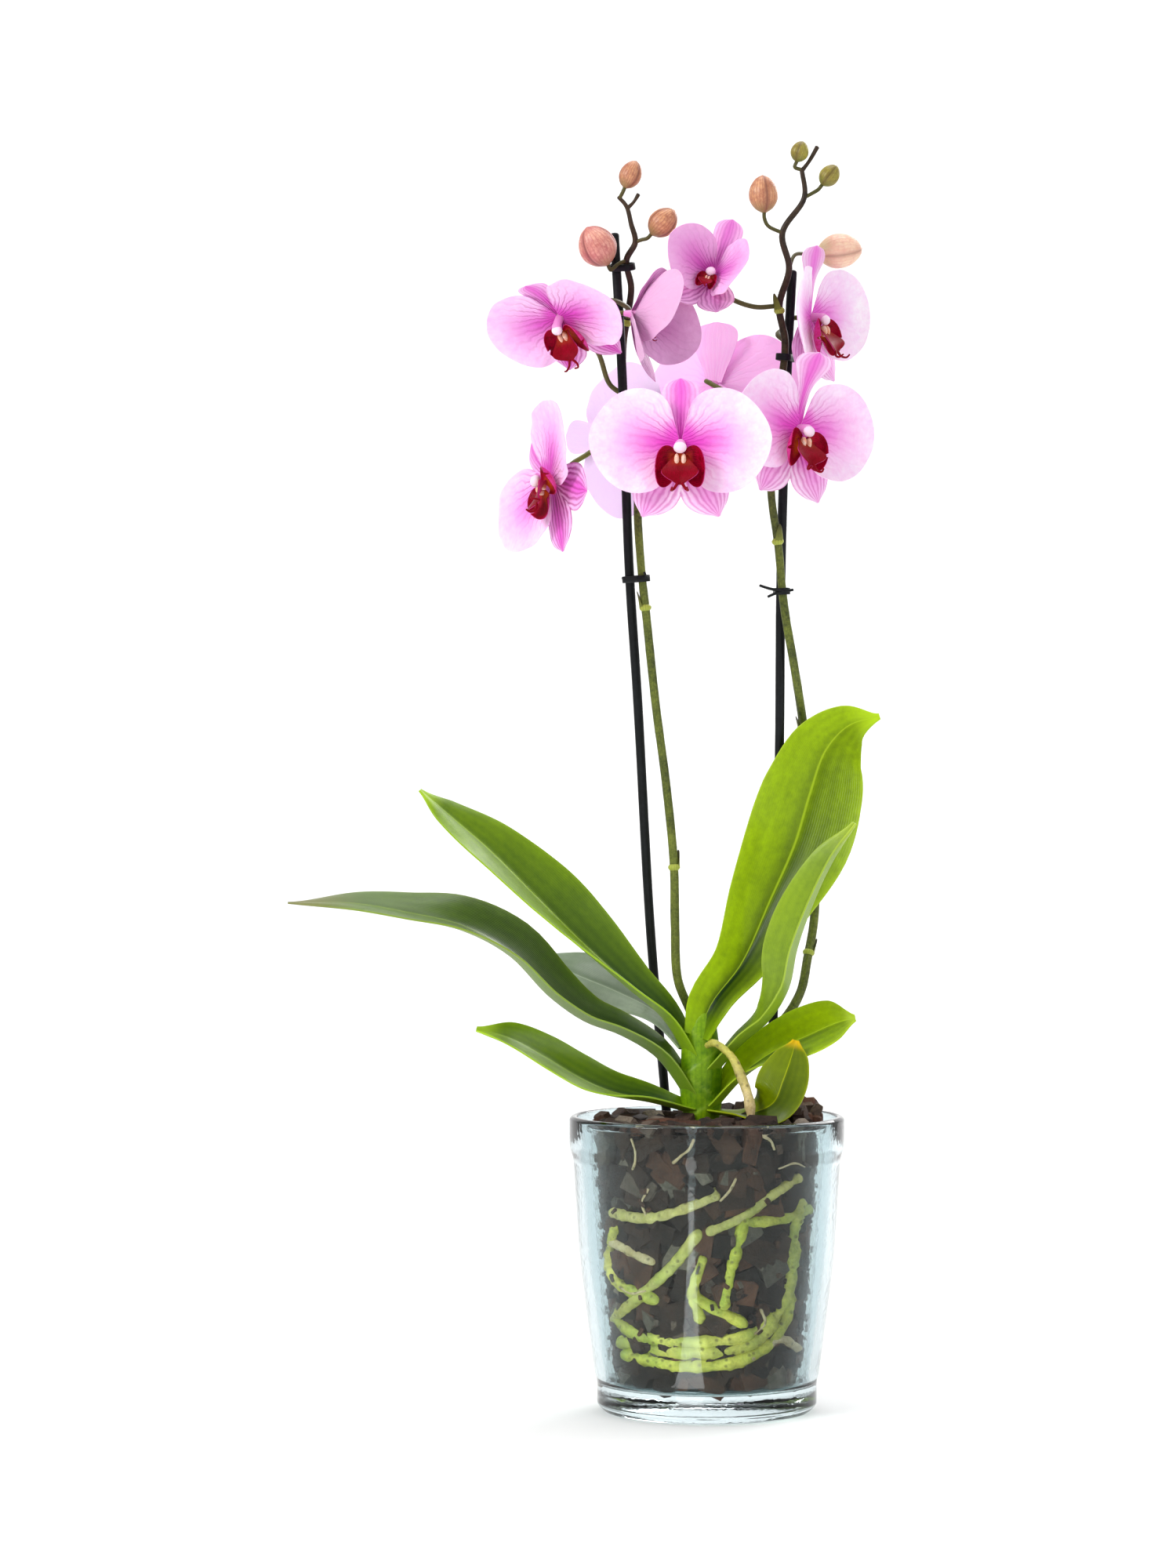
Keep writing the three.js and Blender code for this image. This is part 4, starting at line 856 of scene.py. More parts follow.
def leaf_material(look):
    """Leather-like leaf skin, with painted shade on the half behind the midrib. Tint: the side, how near the
    edge, how near the foot.
    """
    shade, light, under, rib, tip, mirroring, painted_shade_from = LEAF_LOOKS[look]
    made, tree, shader = material("leaf " + look)
    back, edge, foot = tint_parts(tree)
    fine = veining(tree, 46.0, 0.012, 0.3)
    top = mottled(tree, shade, light, 22.0, 260.0, 0.5)
    below = mottled(tree, under, light, 18.0, 200.0, 0.5)
    even = mixed(tree, 0.62, top["Color"], light)
    faint = worked(tree, "MULTIPLY", fine["Veins"], 0.12)
    lined = mixed(tree, faint, even, rib)
    # Painted shade on the half behind the midrib, most of all near the crown; broad streaks run along both
    # halves
    broad = veining(tree, 7.0, 0.05, 0.5)
    painted_shade_stops = [(0, 0), (painted_shade_from, 0.1), (0.54, 1.0), (0.8, 0.8), (1, 0.45)]
    behind = ramped(tree, fine["Across"], [(place, (dark, dark, dark, 1)) for place, dark in painted_shade_stops])
    painted_crown_shade = ranged(tree, fine["Along"], (0.15, 0.8), (1.0, 0.4))
    half = worked(tree, "MULTIPLY", behind, painted_crown_shade)
    painted_shade_and_streaks = worked(tree, "MULTIPLY_ADD", broad["Veins"], 0.09, half, clamped=True)
    shaded = mixed(tree, painted_shade_and_streaks, lined, shade)
    middle = worked(tree, "SUBTRACT", fine["Across"], 0.49)
    off = worked(tree, "ABSOLUTE", middle)
    crease = ranged(tree, off, (0.002, 0.022), (0.6, 0.0), smooth=True)
    ribbed = mixed(tree, crease, shaded, rib)
    sided = mixed(tree, back, ribbed, below["Color"])
    edged = mixed(tree, edge, sided, rib)
    footed = mixed(tree, foot, edged, "#86AE0A")
    at_tip = ranged(tree, fine["Along"], (0.86, 0.99), (0.0, 0.85), smooth=True)
    tipped = mixed(tree, at_tip, footed, tip)
    gloss = ranged(tree, back, given=(0.3, 0.55))
    height = worked(tree, "MULTIPLY_ADD", fine["Veins"], -0.7, top["Height"])
    feed(tree, shader, {
        "Base Color": tipped,
        "Roughness": gloss,
        "Normal": bumped(tree, height, 0.25, 0.0003),
        "Subsurface Weight": 0.05,
        "Subsurface Radius": (0.003, 0.003, 0.0008),
        "Specular IOR Level": mirroring,
        "Coat Weight": 0.06,
        "Coat Roughness": 0.16,
    })
    return made


def leaf_tint(t, v, back):
    """The blade's second face is the upper one, towards which both halves rise."""
    edge = max(0, (abs(v) - 0.95) / 0.05) * 0.45
    return (1 - back, edge, max(0, 0.5 - 4 * t), 1)


def crowded(count, first=0):
    """Shares from 0, or from as far below it, to 1, which lie closer together towards the ends."""
    return [math.sin(math.pi / 2 * i / count) for i in range(first, count + 1)]


LEAF_ROWS = crowded(64)
LEAF_HALF = [0.06, 0.14, 0.24, 0.36, 0.5, 0.64, 0.78, 0.9, 0.97, 1]
LEAF_COLUMNS = [-v for v in reversed(LEAF_HALF)] + [0] + LEAF_HALF
leaf_looks = {look: leaf_material(look) for look in LEAF_LOOKS}
for name, leaf in LEAVES.items():
    form = Form()
    surface = leaf_surface(leaf["spine"], leaf["side"], leaf["fold"])
    blade(form, surface, LEAF_ROWS, LEAF_COLUMNS, LEAF_THICKNESS, LEAF_RIM, leaf_tint)
    form.piece(name + "_blade", leaf_looks[leaf["look"]], "leaf", name, crease=80)

# ---------------------------------------------------------------------------------------------------------
# Stakes: two slender black plastic-coated canes, a little bowed, pushed into the bark behind the crown. They
# lean forward to meet the spikes, and their tops are rounded over.
STAKE_LEFT = [(-15, 43, 70), (-20, 36, 150), (-28, 28, 239), (-35, 17, 361), (-39.5, 10, 430), (-43, 5, 525),
              (-47, 3, 599.5)]
STAKE_RIGHT = [(32.5, 31, 70), (34, 28, 150), (38, 22, 331), (38.5, 17, 418), (39.5, 13, 469), (42, 9, 543),
               (44, 7, 581)]
STAKE_RADIUS = 2.4


def stake_material():
    """Black plastic with a faint, uneven grain."""
    made, tree, shader = material("black cane coating")
    coat = mottled(tree, "#060708", "#14181A", 60.0, 500.0, 1.0)
    feed(tree, shader, {
        "Base Color": coat["Color"],
        "Normal": bumped(tree, coat["Height"], 0.25, 0.0002),
        "Roughness": 0.42,
        "Specular IOR Level": 0.2,
    })
    return made


black = stake_material()
for name, route in (("stake_left", STAKE_LEFT), ("stake_right", STAKE_RIGHT)):
    form = Form()
    tube(form, [(*p, STAKE_RADIUS) for p in route], 20, 12, PLAIN, 0.02, (0.0, 0.5))
    form.piece(name + "_cane", black, "stake", name)

# ---------------------------------------------------------------------------------------------------------
# Spikes: the flower stems, olive green below and browner above, with a swollen ring and a papery bract at
# each joint. They zigzag at the top, where each bloom and bud leaves on its own stalk.
SPIKE_LEFT = [
    (-3.5, 10.6, 188, 2.3), (-8.5, 12, 203, 2.3), (-14.6, 9.5, 219, 2.3), (-16, 9, 247, 2.3),
    (-16.6, 9, 278, 2.2), (-20.6, 8, 319, 2.2), (-26, 6, 360, 2.2), (-31, 4.2, 407, 2.2),
    (-33, 3.5, 425, 2.1), (-35, 3.4, 452, 2.1), (-35.5, 7, 472, 2), (-38, 12, 490, 2), (-42.5, 13, 515, 2),
    (-42.5, 12.5, 545, 1.9), (-40.5, 11, 558, 1.8), (-38.5, 5.5, 573, 1.7), (-41, -1.5, 586, 1.6),
    (-36.5, -4, 595, 1.5), (-38.6, -5, 604, 1.3), (-41, -5, 613, 1.1), (-45, -6.5, 617.5, 1),
]
SPIKE_RIGHT = [
    (7.2, 6.6, 178, 2.4), (24, 16, 184, 2.4), (39, 22, 196, 2.4), (49, 27, 211, 2.4), (53, 30, 229, 2.4),
    (57, 38, 251, 2.3), (57, 42, 300, 2.3), (52, 36, 343, 2.3), (45, 16, 382, 2.2), (41, 10.5, 403, 2.2),
    (39, 9.5, 418, 2.1), (37, 8.6, 440, 2.1), (33, 5.6, 470, 2), (35, 2, 505, 2), (40, 0, 543, 1.9),
    (37, 0, 563, 1.8), (42, 0, 582, 1.7), (38.4, -4, 599.6, 1.6), (49.5, -5, 617.5, 1.4),
    (48.2, -5.5, 632, 1.2),
]
# Heights of the joints
RINGS_LEFT = (276, 409, 475, 555)
RINGS_RIGHT = (231, 345, 442, 478, 560)
# The stalk of each bloom, from the spike outwards
PEDICELS = {
    1: [(-43, 13, 519), (-49.5, 10.5, 524), (-56, 0, 540), (-68, -9, 550)],
    2: [(37, 0, 563), (24, 0, 562.5), (10, 0, 568)],
    3: [(-40.5, 11, 558), (-39.5, 2, 561), (-46, -10, 564), (-51, -18, 563)],
    4: [(40, 0, 545), (36.5, 7, 549), (40, 15, 553)],
    5: [(-35.5, 7, 472), (-28, -8, 477), (-17, -30, 486)],
    6: [(33.5, 4, 484), (35, 2, 492)],
    7: [(-38.5, 12.5, 492), (-50, 12, 494), (-62, 0, 486.5), (-70, -9, 480)],
    8: [(-41, 13, 505), (-45, 20, 504)],
    9: [(35.5, 2, 512), (27, 12, 515), (15, 28, 520)],
}
# Where each bud's stalk leaves the spike
BUD_STALKS = {
    1: [(-41, -1.5, 586), (-45, -4, 584)], 2: [(-36.5, -4, 595), (-33, -5.5, 596)], 3: [(-44.5, -6.5, 617)],
    4: [(42, 0, 582), (45.5, 8, 590)], 5: [(38.4, -4, 599.6), (31, -6, 603)],
    6: [(49.5, -5, 617.5), (54, -4.5, 620)], 7: [(48.2, -5.5, 631.5)],
}
# The growing tips beyond the last buds
STUB_LEFT = [(-40.6, -5, 612, 1.1), (-37.5, -5, 615, 0.9), (-35, -5, 619, 1.1)]
STUB_RIGHT = [(48.2, -5.5, 631, 1.2), (52, -5.5, 636, 1), (56, -5.5, 643, 1.2)]
STUB_TINT = (1, 0, 0, 1)
PEDICEL_RADIUS, BUD_STALK_RADIUS = 1.3, 1.0
OVARY_LENGTH = 6
# Each bud: its foot, the way it points, its length, its widest radius and its look
BUDS = [
    ((-50.5, -7, 583), (-0.5, -0.25, 0.85), 22, 9.6, "rose"),
    ((-28.5, -7, 598.5), (0.6, -0.1, 0.6), 17, 7, "tan"),
    ((-42, -7.5, 622), (0.4, 0, 0.9), 15, 5.6, "tan"),
    ((57.5, 20, 592), (0.97, 0.15, 0.15), 24, 9, "peach"),
    ((29, -7, 609.5), (-0.05, -0.05, 1), 19, 7.4, "tan"),
    ((58.5, -4, 624), (0.6, 0, 0.75), 12.5, 5, "green"),
    ((45.5, -6, 635.5), (0.3, 0, 0.95), 11, 4.6, "green"),
]
# Each bloom: the middle of its tepals, where it faces, its roll seen from the front, its size and its look.
# cup and curl are how far its petals lift forward and then bend, in degrees, and width is their breadth. Its
# top sepal is the dorsal one, with a narrow foot if spoon is set, and lip is the size of its lip.
BLOOMS = [
    dict(at=(-74.7, -24, 554.5), facing=(-0.3, -0.62, -0.72), roll=16, size=0.88, cup=8, curl=4,
         dorsal_curl=35, look="veined"),
    dict(at=(3, -9, 577.5), facing=(-0.12, -0.93, 0.34), roll=-20, size=0.78, lip=0.62, cup=48, curl=12,
         dorsal_curl=-10, dorsal_length=38, width=0.8, look="dusky"),
    dict(at=(-37, -28, 555.5), facing=(0.96, -0.24, -0.12), roll=-20, size=0.88, lip=0.55, cup=40, curl=14,
         dorsal_curl=20, width=0.86, look="mauve"),
    dict(at=(53.5, 8, 558), facing=(0.85, -0.53, 0), roll=3, size=0.9, cup=14, curl=10, spoon=True,
         dorsal_width=1.2, dorsal_length=40, dorsal_curl=14, look="pale"),
    dict(at=(-14.5, -50, 488.5), facing=(-0.05, -1, -0.05), roll=0, size=1, look="full"),
    dict(at=(46.5, -10, 499.3), facing=(0.55, -0.83, 0), roll=-8, size=0.96, spoon=True, dorsal_length=42,
         dorsal_curl=42, look="full"),
    dict(at=(-80, -20, 473), facing=(-0.87, -0.5, 0), roll=50, size=0.98, cup=10, curl=6, width=0.85,
         look="veined"),
    dict(at=(-46.3, 40, 498.3), facing=(0.6, 0.8, 0), roll=-85, size=0.92, cup=12, look="lilac"),
    dict(at=(6, 48, 527), facing=(0.45, 0.88, -0.1), roll=0, size=1, cup=12, dorsal_width=1.35, look="pale"),
]


def spike_material():
    """Tint: how brown the stem is, how pale its bracts are."""
    made, tree, shader = material("spike skin")
    brown, bract, _ = tint_parts(tree)
    veins = veining(tree, 14.0, 0.05, 0.3)
    low = mottled(tree, "#363F18", "#747E30", 50.0, 700.0, 1.0)
    high = mottled(tree, "#1C120E", "#483626", 50.0, 700.0, 1.0)
    skin = mixed(tree, brown, low["Color"], high["Color"])
    ring = mixed(tree, bract, skin, "#B4BE4E")
    streak = worked(tree, "MULTIPLY", veins["Veins"], 0.25)
    lined = mixed(tree, streak, ring, "#33301A")
    feed(tree, shader, {
        "Base Color": lined,
        "Normal": bumped(tree, low["Height"], 0.3, 0.0003),
        "Roughness": 0.42,
        "Specular IOR Level": 0.25,
    })
    return made


def at_height(points, z, steps=400):
    """The axis of a stem at a height: its place and direction."""
    for i in range(steps):
        here = curve_point(points, i / steps)
        if here.z >= z:
            return here, heading(points, i / steps)
    return curve_point(points, 1), Vector((0, 0, 1))


JOINT = ((-2, -0.3), (-0.7, 0.75), (0.6, 0.8), (2, -0.3))  # along the stem, and how much wider than it
JOINT_TINT = (0.15, 0.75, 0, 1)
BRACT_LENGTH, BRACT_WRAP, BRACT_THICKNESS, BRACT_RIM = 9, 1.25, 0.5, 0.6
BRACT_ROWS, BRACT_COLUMNS = [0, 0.2, 0.4, 0.6, 0.75, 0.88, 0.97], [-1, -0.5, 0, 0.5, 1]


def bract_tint(t, v, back):
    """Paler at its foot, browner towards its point."""
    return 0.35 + 0.4 * t, 0.35 * (1 - t), 0, 1


def ringed(form, points, rings):
    """Swollen joints, each with a pointed bract that hugs the stem above it."""
    for k, z in enumerate(rings):
        centre, along = at_height(points, z)
        radius = 2.2 if z < 500 else 1.9  # of the stem, which thins out upwards
        swelling = [(*(centre + along * beyond), radius + wider) for beyond, wider in JOINT]
        tube(form, swelling, 16, 4, JOINT_TINT)
        turn = 2.4 * k + 0.6  # each bract sits further round the stem than the one below
        front = Vector((math.cos(turn), math.sin(turn), 0))
        front = (front - along * front.dot(along)).normalized()
        over = along.cross(front)

        def surface(t, v, c=centre, a=along, f=front, o=over, r=radius):
            angle = v * BRACT_WRAP * (1 - t) ** 0.7
            away = f * math.cos(angle) + o * math.sin(angle)
            return c + a * (BRACT_LENGTH * t) + away * (r + 0.65 + 0.5 * t * t)

        blade(form, surface, BRACT_ROWS, BRACT_COLUMNS, BRACT_THICKNESS, BRACT_RIM, bract_tint)


# Heights at which stems and stalks begin to turn brown, and over how much they do
STEM_BROWNS, STALK_BROWNS = (430, 130), (470, 110)


def browned(z, browns):
    """How brown a stem is at a height."""
    return within((z - browns[0]) / browns[1])


def stalk(form, path, radius):
    """The stalk of one bloom or bud, from the spike outwards."""
    brown = browned(max(p[2] for p in path), STALK_BROWNS)
    tube(form, [(*p, radius) for p in path], 10, 7, (brown, 0.1, 0, 1), 0.05, (0.2, 0.2))


def spike(points, rings, blooms, buds, stub):
    """A stem with its joints, the stalks of its blooms and buds, and the stub where it goes on growing."""
    form = Form()
    tube(form, points, 18, 9, PLAIN, 0.04)
    form.tints = [(browned(z, STEM_BROWNS), 0, 0, 1) for x, y, z in form.points]
    ringed(form, points, rings)
    for number in blooms:
        bloom = BLOOMS[number - 1]
        forward = Vector(bloom["facing"]).normalized()
        end = OVARY_LENGTH * bloom["size"] + 0.3
        path = PEDICELS[number] + [tuple(Vector(bloom["at"]) - forward * d) for d in (end + 5, end - 0.5)]
        stalk(form, path, PEDICEL_RADIUS)
    for number in buds:
        foot, toward, _, _, _ = BUDS[number - 1]
        aim = Vector(toward).normalized()
        path = BUD_STALKS[number] + [tuple(Vector(foot) - aim * d) for d in (2.8, -0.3)]
        stalk(form, path, BUD_STALK_RADIUS)
    tube(form, stub, 10, 5, STUB_TINT, 0.1)
    return form


green_skin = spike_material()
SPIKES = {
    "spike_left": (SPIKE_LEFT, RINGS_LEFT, (1, 3, 5, 7, 8), (1, 2, 3), STUB_LEFT),
    "spike_right": (SPIKE_RIGHT, RINGS_RIGHT, (2, 4, 6, 9), (4, 5, 6, 7), STUB_RIGHT),
}
for name, parts in SPIKES.items():
    spike(*parts).piece(name + "_stem", green_skin, "spike", name)

# ---------------------------------------------------------------------------------------------------------
# Clips: small sprung black plastic clips that hold each spike to its stake, closed round both. Thin grip tabs
# stick out at their sides.
CLIPS = {
    "clip_left_low": (STAKE_LEFT, SPIKE_LEFT, 424, [(9, -2, 3), (-8, -2, 1)]),
    "clip_left_top": (STAKE_LEFT, SPIKE_LEFT, 583, [(-8, -1, 4)]),
    "clip_right_low": (STAKE_RIGHT, SPIKE_RIGHT, 418, [(9, -12, 3.4), (9, -8, -2.4), (8, 5, 0.6)]),
    "clip_right_top": (STAKE_RIGHT, SPIKE_RIGHT, 537, [(-7, -3, -2)]),
}
CLIP_HEIGHT, CLIP_WALL, CLIP_EASE, CLIP_ARC_STEPS = 3.4, 1.1, 0.55, 24
# The band's section, from inside (0) to outside (1) and back, with eased corners
CLIP_SECTION = [
    (0, -0.42), (0, 0.42), (0.18, 0.5), (0.82, 0.5), (1, 0.42), (1, -0.42), (0.82, -0.5), (0.18, -0.5),
]


def straight_at(points, z):
    """Place and direction on the straight run between two of a stem's points."""
    i = next(k for k, p in enumerate(points) if p[2] > z)
    low, high = Vector(points[i - 1][:3]), Vector(points[i][:3])
    return low.lerp(high, (z - low.z) / (high.z - low.z)), high - low


def clip(stake, stem, z, tabs):
    """A band round stake and stem at a height, and its tabs as [right, forward, up] from its middle."""
    held, support = straight_at(stem, z), straight_at(stake, z)
    middle = (held[0] + support[0]) / 2
    apart = held[0] - support[0]
    apart.z = 0
    spread = apart.length / 2
    right = apart.normalized()
    axis = (held[1].normalized() + support[1].normalized()).normalized()
    front = axis.cross(right).normalized()
    basis = Matrix((front.cross(axis), front, axis)).transposed()
    inner = STAKE_RADIUS + CLIP_EASE

    def ring(radius):
        ends = [(spread, -math.pi / 2), (-spread, math.pi / 2)]
        turns = [(x, a + math.pi * k / CLIP_ARC_STEPS) for x, a in ends for k in range(CLIP_ARC_STEPS + 1)]
        return [(x + radius * math.cos(angle), radius * math.sin(angle)) for x, angle in turns]

    rings = [[(x, y, h * CLIP_HEIGHT) for x, y in ring(inner + out * CLIP_WALL)] for out, h in CLIP_SECTION]
    points = [tuple(basis @ Vector(p) + middle) for one in rings for p in one]
    form = Form()
    form.add(points, ring_faces(len(rings), len(rings[0]), closed=True), [(0.5, 0.5)] * len(points), PLAIN)
    for x, y, h in tabs:
        foot = math.copysign(spread + inner + 0.5, x)
        path = [((foot, 0, 0), 0.8), (((foot + x) / 2, y * 0.6, h * 0.5), 0.75), ((x, y, h), 0.7)]
        tube(form, [(*(basis @ Vector(p) + middle), r) for p, r in path], 10, 5, PLAIN)
    return form


for name, held in CLIPS.items():
    clip(*held).piece(name + "_band", black, "stake", name, crease=40)

# ---------------------------------------------------------------------------------------------------------
# Buds: closed flowers, each with three thick sepals that meet along seams, ribbed with faint veins. The young
# ones at the tips are green, the older ones swell and turn peach and rose.
BUD_OUTLINE = [
    (0, 0.16), (0.1, 0.58), (0.3, 0.93), (0.5, 1.0), (0.7, 0.88), (0.86, 0.62), (0.95, 0.36), (1.0, 0.06),
]
BUD_FLATNESS = 0.92
# Body, blush (also the painted shade towards the seams), foot
BUD_LOOKS = {
    "rose": ("#EDB9A0", "#BA6460", "#A88C5C"),
    "tan": ("#E0A97C", "#A05C46", "#867840"),
    "peach": ("#F9E0C2", "#E8B09C", "#C0AE7A"),
    "green": ("#AEA83C", "#745E22", "#5E6C1E"),
}


def bud_material(look):
    """Tint: how near a seam, closely for its dark line and broadly for the painted shade."""
    body, blush, foot = BUD_LOOKS[look]
    made, tree, shader = material("bud " + look)
    seam, beside, _ = tint_parts(tree)
    veins = veining(tree, 27.0, 0.03, 0.3)
    skin = mottled(tree, blush, body, 90.0, 600.0, 1.0)
    low = ranged(tree, veins["Along"], (0.0, 0.4), (0.8, 0.0), smooth=True)
    footed = mixed(tree, low, skin["Color"], foot)
    streak = worked(tree, "MULTIPLY", veins["Veins"], 0.5)
    lined = mixed(tree, streak, footed, blush)
    # Painted shade: each sepal darkens to the blush colour towards its seams, where its sides turn from the
    # light
    flushed = mixed(tree, beside, lined, blush)
    seamed = mixed(tree, seam, flushed, toned(tree, blush, 0.5))
    feed(tree, shader, {
        "Base Color": seamed,
        "Normal": bumped(tree, veins["Veins"], 0.3, 0.0003),
        "Roughness": 0.42,
        "Subsurface Weight": 0.25,
        "Subsurface Radius": (0.004, 0.002, 0.001),
    })
    return made


def outline_at(outline, t):
    """Smooth half width at a share of the length."""
    i = max(1, next((k for k, p in enumerate(outline) if p[0] >= t), len(outline) - 1))
    (t0, w0), (t1, w1) = outline[i - 1], outline[i]
    before = outline[i - 2] if i > 1 else (2 * t0 - t1, 2 * w0 - w1)
    after = outline[i + 1] if i + 1 < len(outline) else (2 * t1 - t0, w1)
    m0 = (w1 - before[1]) / (t1 - before[0]) * (t1 - t0)
    m1 = (after[1] - w0) / (after[0] - t0) * (t1 - t0)
    return eased(w0, m0, w1, m1, (t - t0) / (t1 - t0))


BUD_RINGS, BUD_SIDES = 26, 48
bud_looks = {look: bud_material(look) for look in BUD_LOOKS}
for number, (foot, toward, length, radius, look) in enumerate(BUDS, 1):
    aim = Vector(toward).normalized()
    turn = Vector((0, 0, 1)).rotation_difference(aim).to_matrix()
    points, places, tints = [], [], []
    for i in range(BUD_RINGS + 1):
        t = (1 - math.cos(math.pi * i / BUD_RINGS)) / 2
        wide = outline_at(BUD_OUTLINE, t) * radius
        for j in range(BUD_SIDES):
            angle = math.tau * j / BUD_SIDES
            beside = 1 - abs(math.sin(1.5 * angle + 0.4 * number))  # three seams, where sepals meet
            seam = beside**7
            reach = wide * (1 - 0.1 * seam * math.sin(math.pi * t) ** 0.5)
            x, y, z = polar(reach, angle, t * length)
            points.append(tuple(turn @ Vector((x, BUD_FLATNESS * y, z)) + Vector(foot)))
            places.append((j / BUD_SIDES, t))
            # The second number is the painted shade towards the seams
            tints.append((0.9 * seam, 0.6 * beside**1.5, 0, 1))
    form = Form()
    form.add(points, ring_faces(BUD_RINGS + 1, BUD_SIDES), places, tints)
    form.piece(f"bud_{number}_sepals", bud_looks[look], "bud", f"bud_{number}", crease=80)

# ---------------------------------------------------------------------------------------------------------
# Blooms: three narrow sepals behind two broad, round petals, with the waxy white-pink column in the middle
# and its cap. All five are pale pink with magenta veins that fan out from the middle, duller on the back.

# Half widths along each tepal, as [share of its length, half width]
PETAL_OUTLINE = [
    (0, 3), (0.05, 9), (0.11, 17), (0.2, 22.6), (0.36, 25.6), (0.55, 25.6), (0.72, 22.2), (0.86, 16),
    (0.95, 9.2), (0.985, 5), (1, 1.2),
]
DORSAL_OUTLINE = [(0, 3), (0.2, 4.8), (0.45, 7.4), (0.68, 9.4), (0.85, 9.2), (0.95, 6), (1, 1)]
SPOON_OUTLINE = [(0, 3), (0.3, 3.4), (0.52, 4.6), (0.68, 8.2), (0.83, 11.2), (0.95, 8), (1, 1)]
LATERAL_OUTLINE = [(0, 3), (0.15, 6.5), (0.35, 10.5), (0.55, 12.2), (0.72, 11.6), (0.88, 7), (1, 0.8)]
PETAL_LENGTH, DORSAL_LENGTH, LATERAL_LENGTH = 45, 32, 40
PETAL_ANGLE, LATERAL_ANGLE = 86, 152
PETAL_HEIGHT, SEPAL_HEIGHT = 0.4, -1.4
PETAL_RUFFLE, SEPAL_RUFFLE = 3.2, 0.8
TEPAL_THICKNESS, TEPAL_RIM = 0.8, 0.45
COLUMN = [(0, 0, -6, 1.7), (0, 0, -1, 2.4), (0, -0.3, 5, 2.4), (0, -1.2, 8.2, 2.9), (0, -1.8, 9.6, 2.2)]
CAP_MIDDLE, CAP_RADII = (0, -2.1, 9.4), (3.3, 2.9, 2.5)
COLUMN_TINT, CAP_TINT = (1, 0, 0.35, 1), (1, 0, 1, 1)
# Pale, blush, vein and back colours, then how far the blush reaches, how strong the veins are, and how strong
# the blush of the lower sepals is
BLOOM_LOOKS = {
    "full": ("#FFEEFF", "#EA36CE", "#C210A2", "#FACCF2", 1.02, 0.8, 0.45),
    "pale": ("#FFF2FF", "#EC58D8", "#C828AA", "#F6BEEC", 0.88, 0.7, 0.5),
    "veined": ("#FFE2FF", "#E030C8", "#AC0688", "#F2B8EA", 1.15, 1.0, 0.9),
    "dusky": ("#F6C8EE", "#D04CBC", "#9C1886", "#F2C2D0", 1.15, 0.8, 0.6),
    "mauve": ("#E4B2DC", "#A83E94", "#761266", "#DCA6CE", 1.1, 0.8, 0.6),
    "lilac": ("#E2CCE8", "#D47EC0", "#C060BE", "#DCC2E2", 0.8, 0.3, 0.3),
}


def tepal_surface(angle, length, outline, lift, curl, depth, ruffle, seed, hollow=0.12, width=1):
    """A tepal leaves the middle at an angle, lifts forward and bends by curl along its length."""
    turn, start, bend = math.radians(angle), math.radians(lift), math.radians(curl)
    out = Vector((math.sin(turn), math.cos(turn), 0))
    across = Vector((math.cos(turn), -math.sin(turn), 0))

    def surface(t, v):
        reach = length * (math.sin(start + bend * t) - math.sin(start)) / bend
        rise = length * (math.cos(start) - math.cos(start + bend * t)) / bend
        half = width * outline_at(outline, t)
        slope = start + bend * t
        waves = noise.noise(Vector((4 * t + seed, 2 * v, 3.1 * seed)))
        waves *= ruffle * abs(v) ** 2.5 * math.sin(math.pi * t)
        crease = -0.5 * math.exp(-((v / 0.1) ** 2)) * (1 - t)
        lean = hollow * v * v * half + waves + crease
        return (Vector((0, 0, depth)) + out * (1 + reach - lean * math.sin(slope)) + across * (v * half)
                + Vector((0, 0, rise + lean * math.cos(slope))))

    return surface


def bloom_turn(facing, roll):
    """Turns local axes (x right, y to the dorsal sepal, z forward) into the plant's."""
    forward = Vector(facing).normalized()
    right = Vector((0, 0, 1)).cross(forward).normalized()
    up = forward.cross(right)
    return Matrix((right, up, forward)).transposed() @ Matrix.Rotation(math.radians(roll), 3, "Z")


def placed(form, bloom):
    """Moves a bloom's points from its own axes to its place on the plant."""
    turn = bloom_turn(bloom["facing"], bloom["roll"]) * bloom["size"]
    form.points = [tuple(turn @ Vector(p) + Vector(bloom["at"])) for p in form.points]


def ball(form, centre, radii, tint, rings=12, sides=20):
    """An egg-shaped swelling."""
    points, places = [], []
    for i in range(rings + 1):
        down = math.pi * (0.03 + 0.94 * i / rings)
        for j in range(sides):
            way = polar(math.sin(down), math.tau * j / sides, math.cos(down))
            points.append(tuple(c + r * w for c, r, w in zip(centre, radii, way)))
            places.append((j / sides, i / rings))
    form.add(points, ring_faces(rings + 1, sides), places, tint)


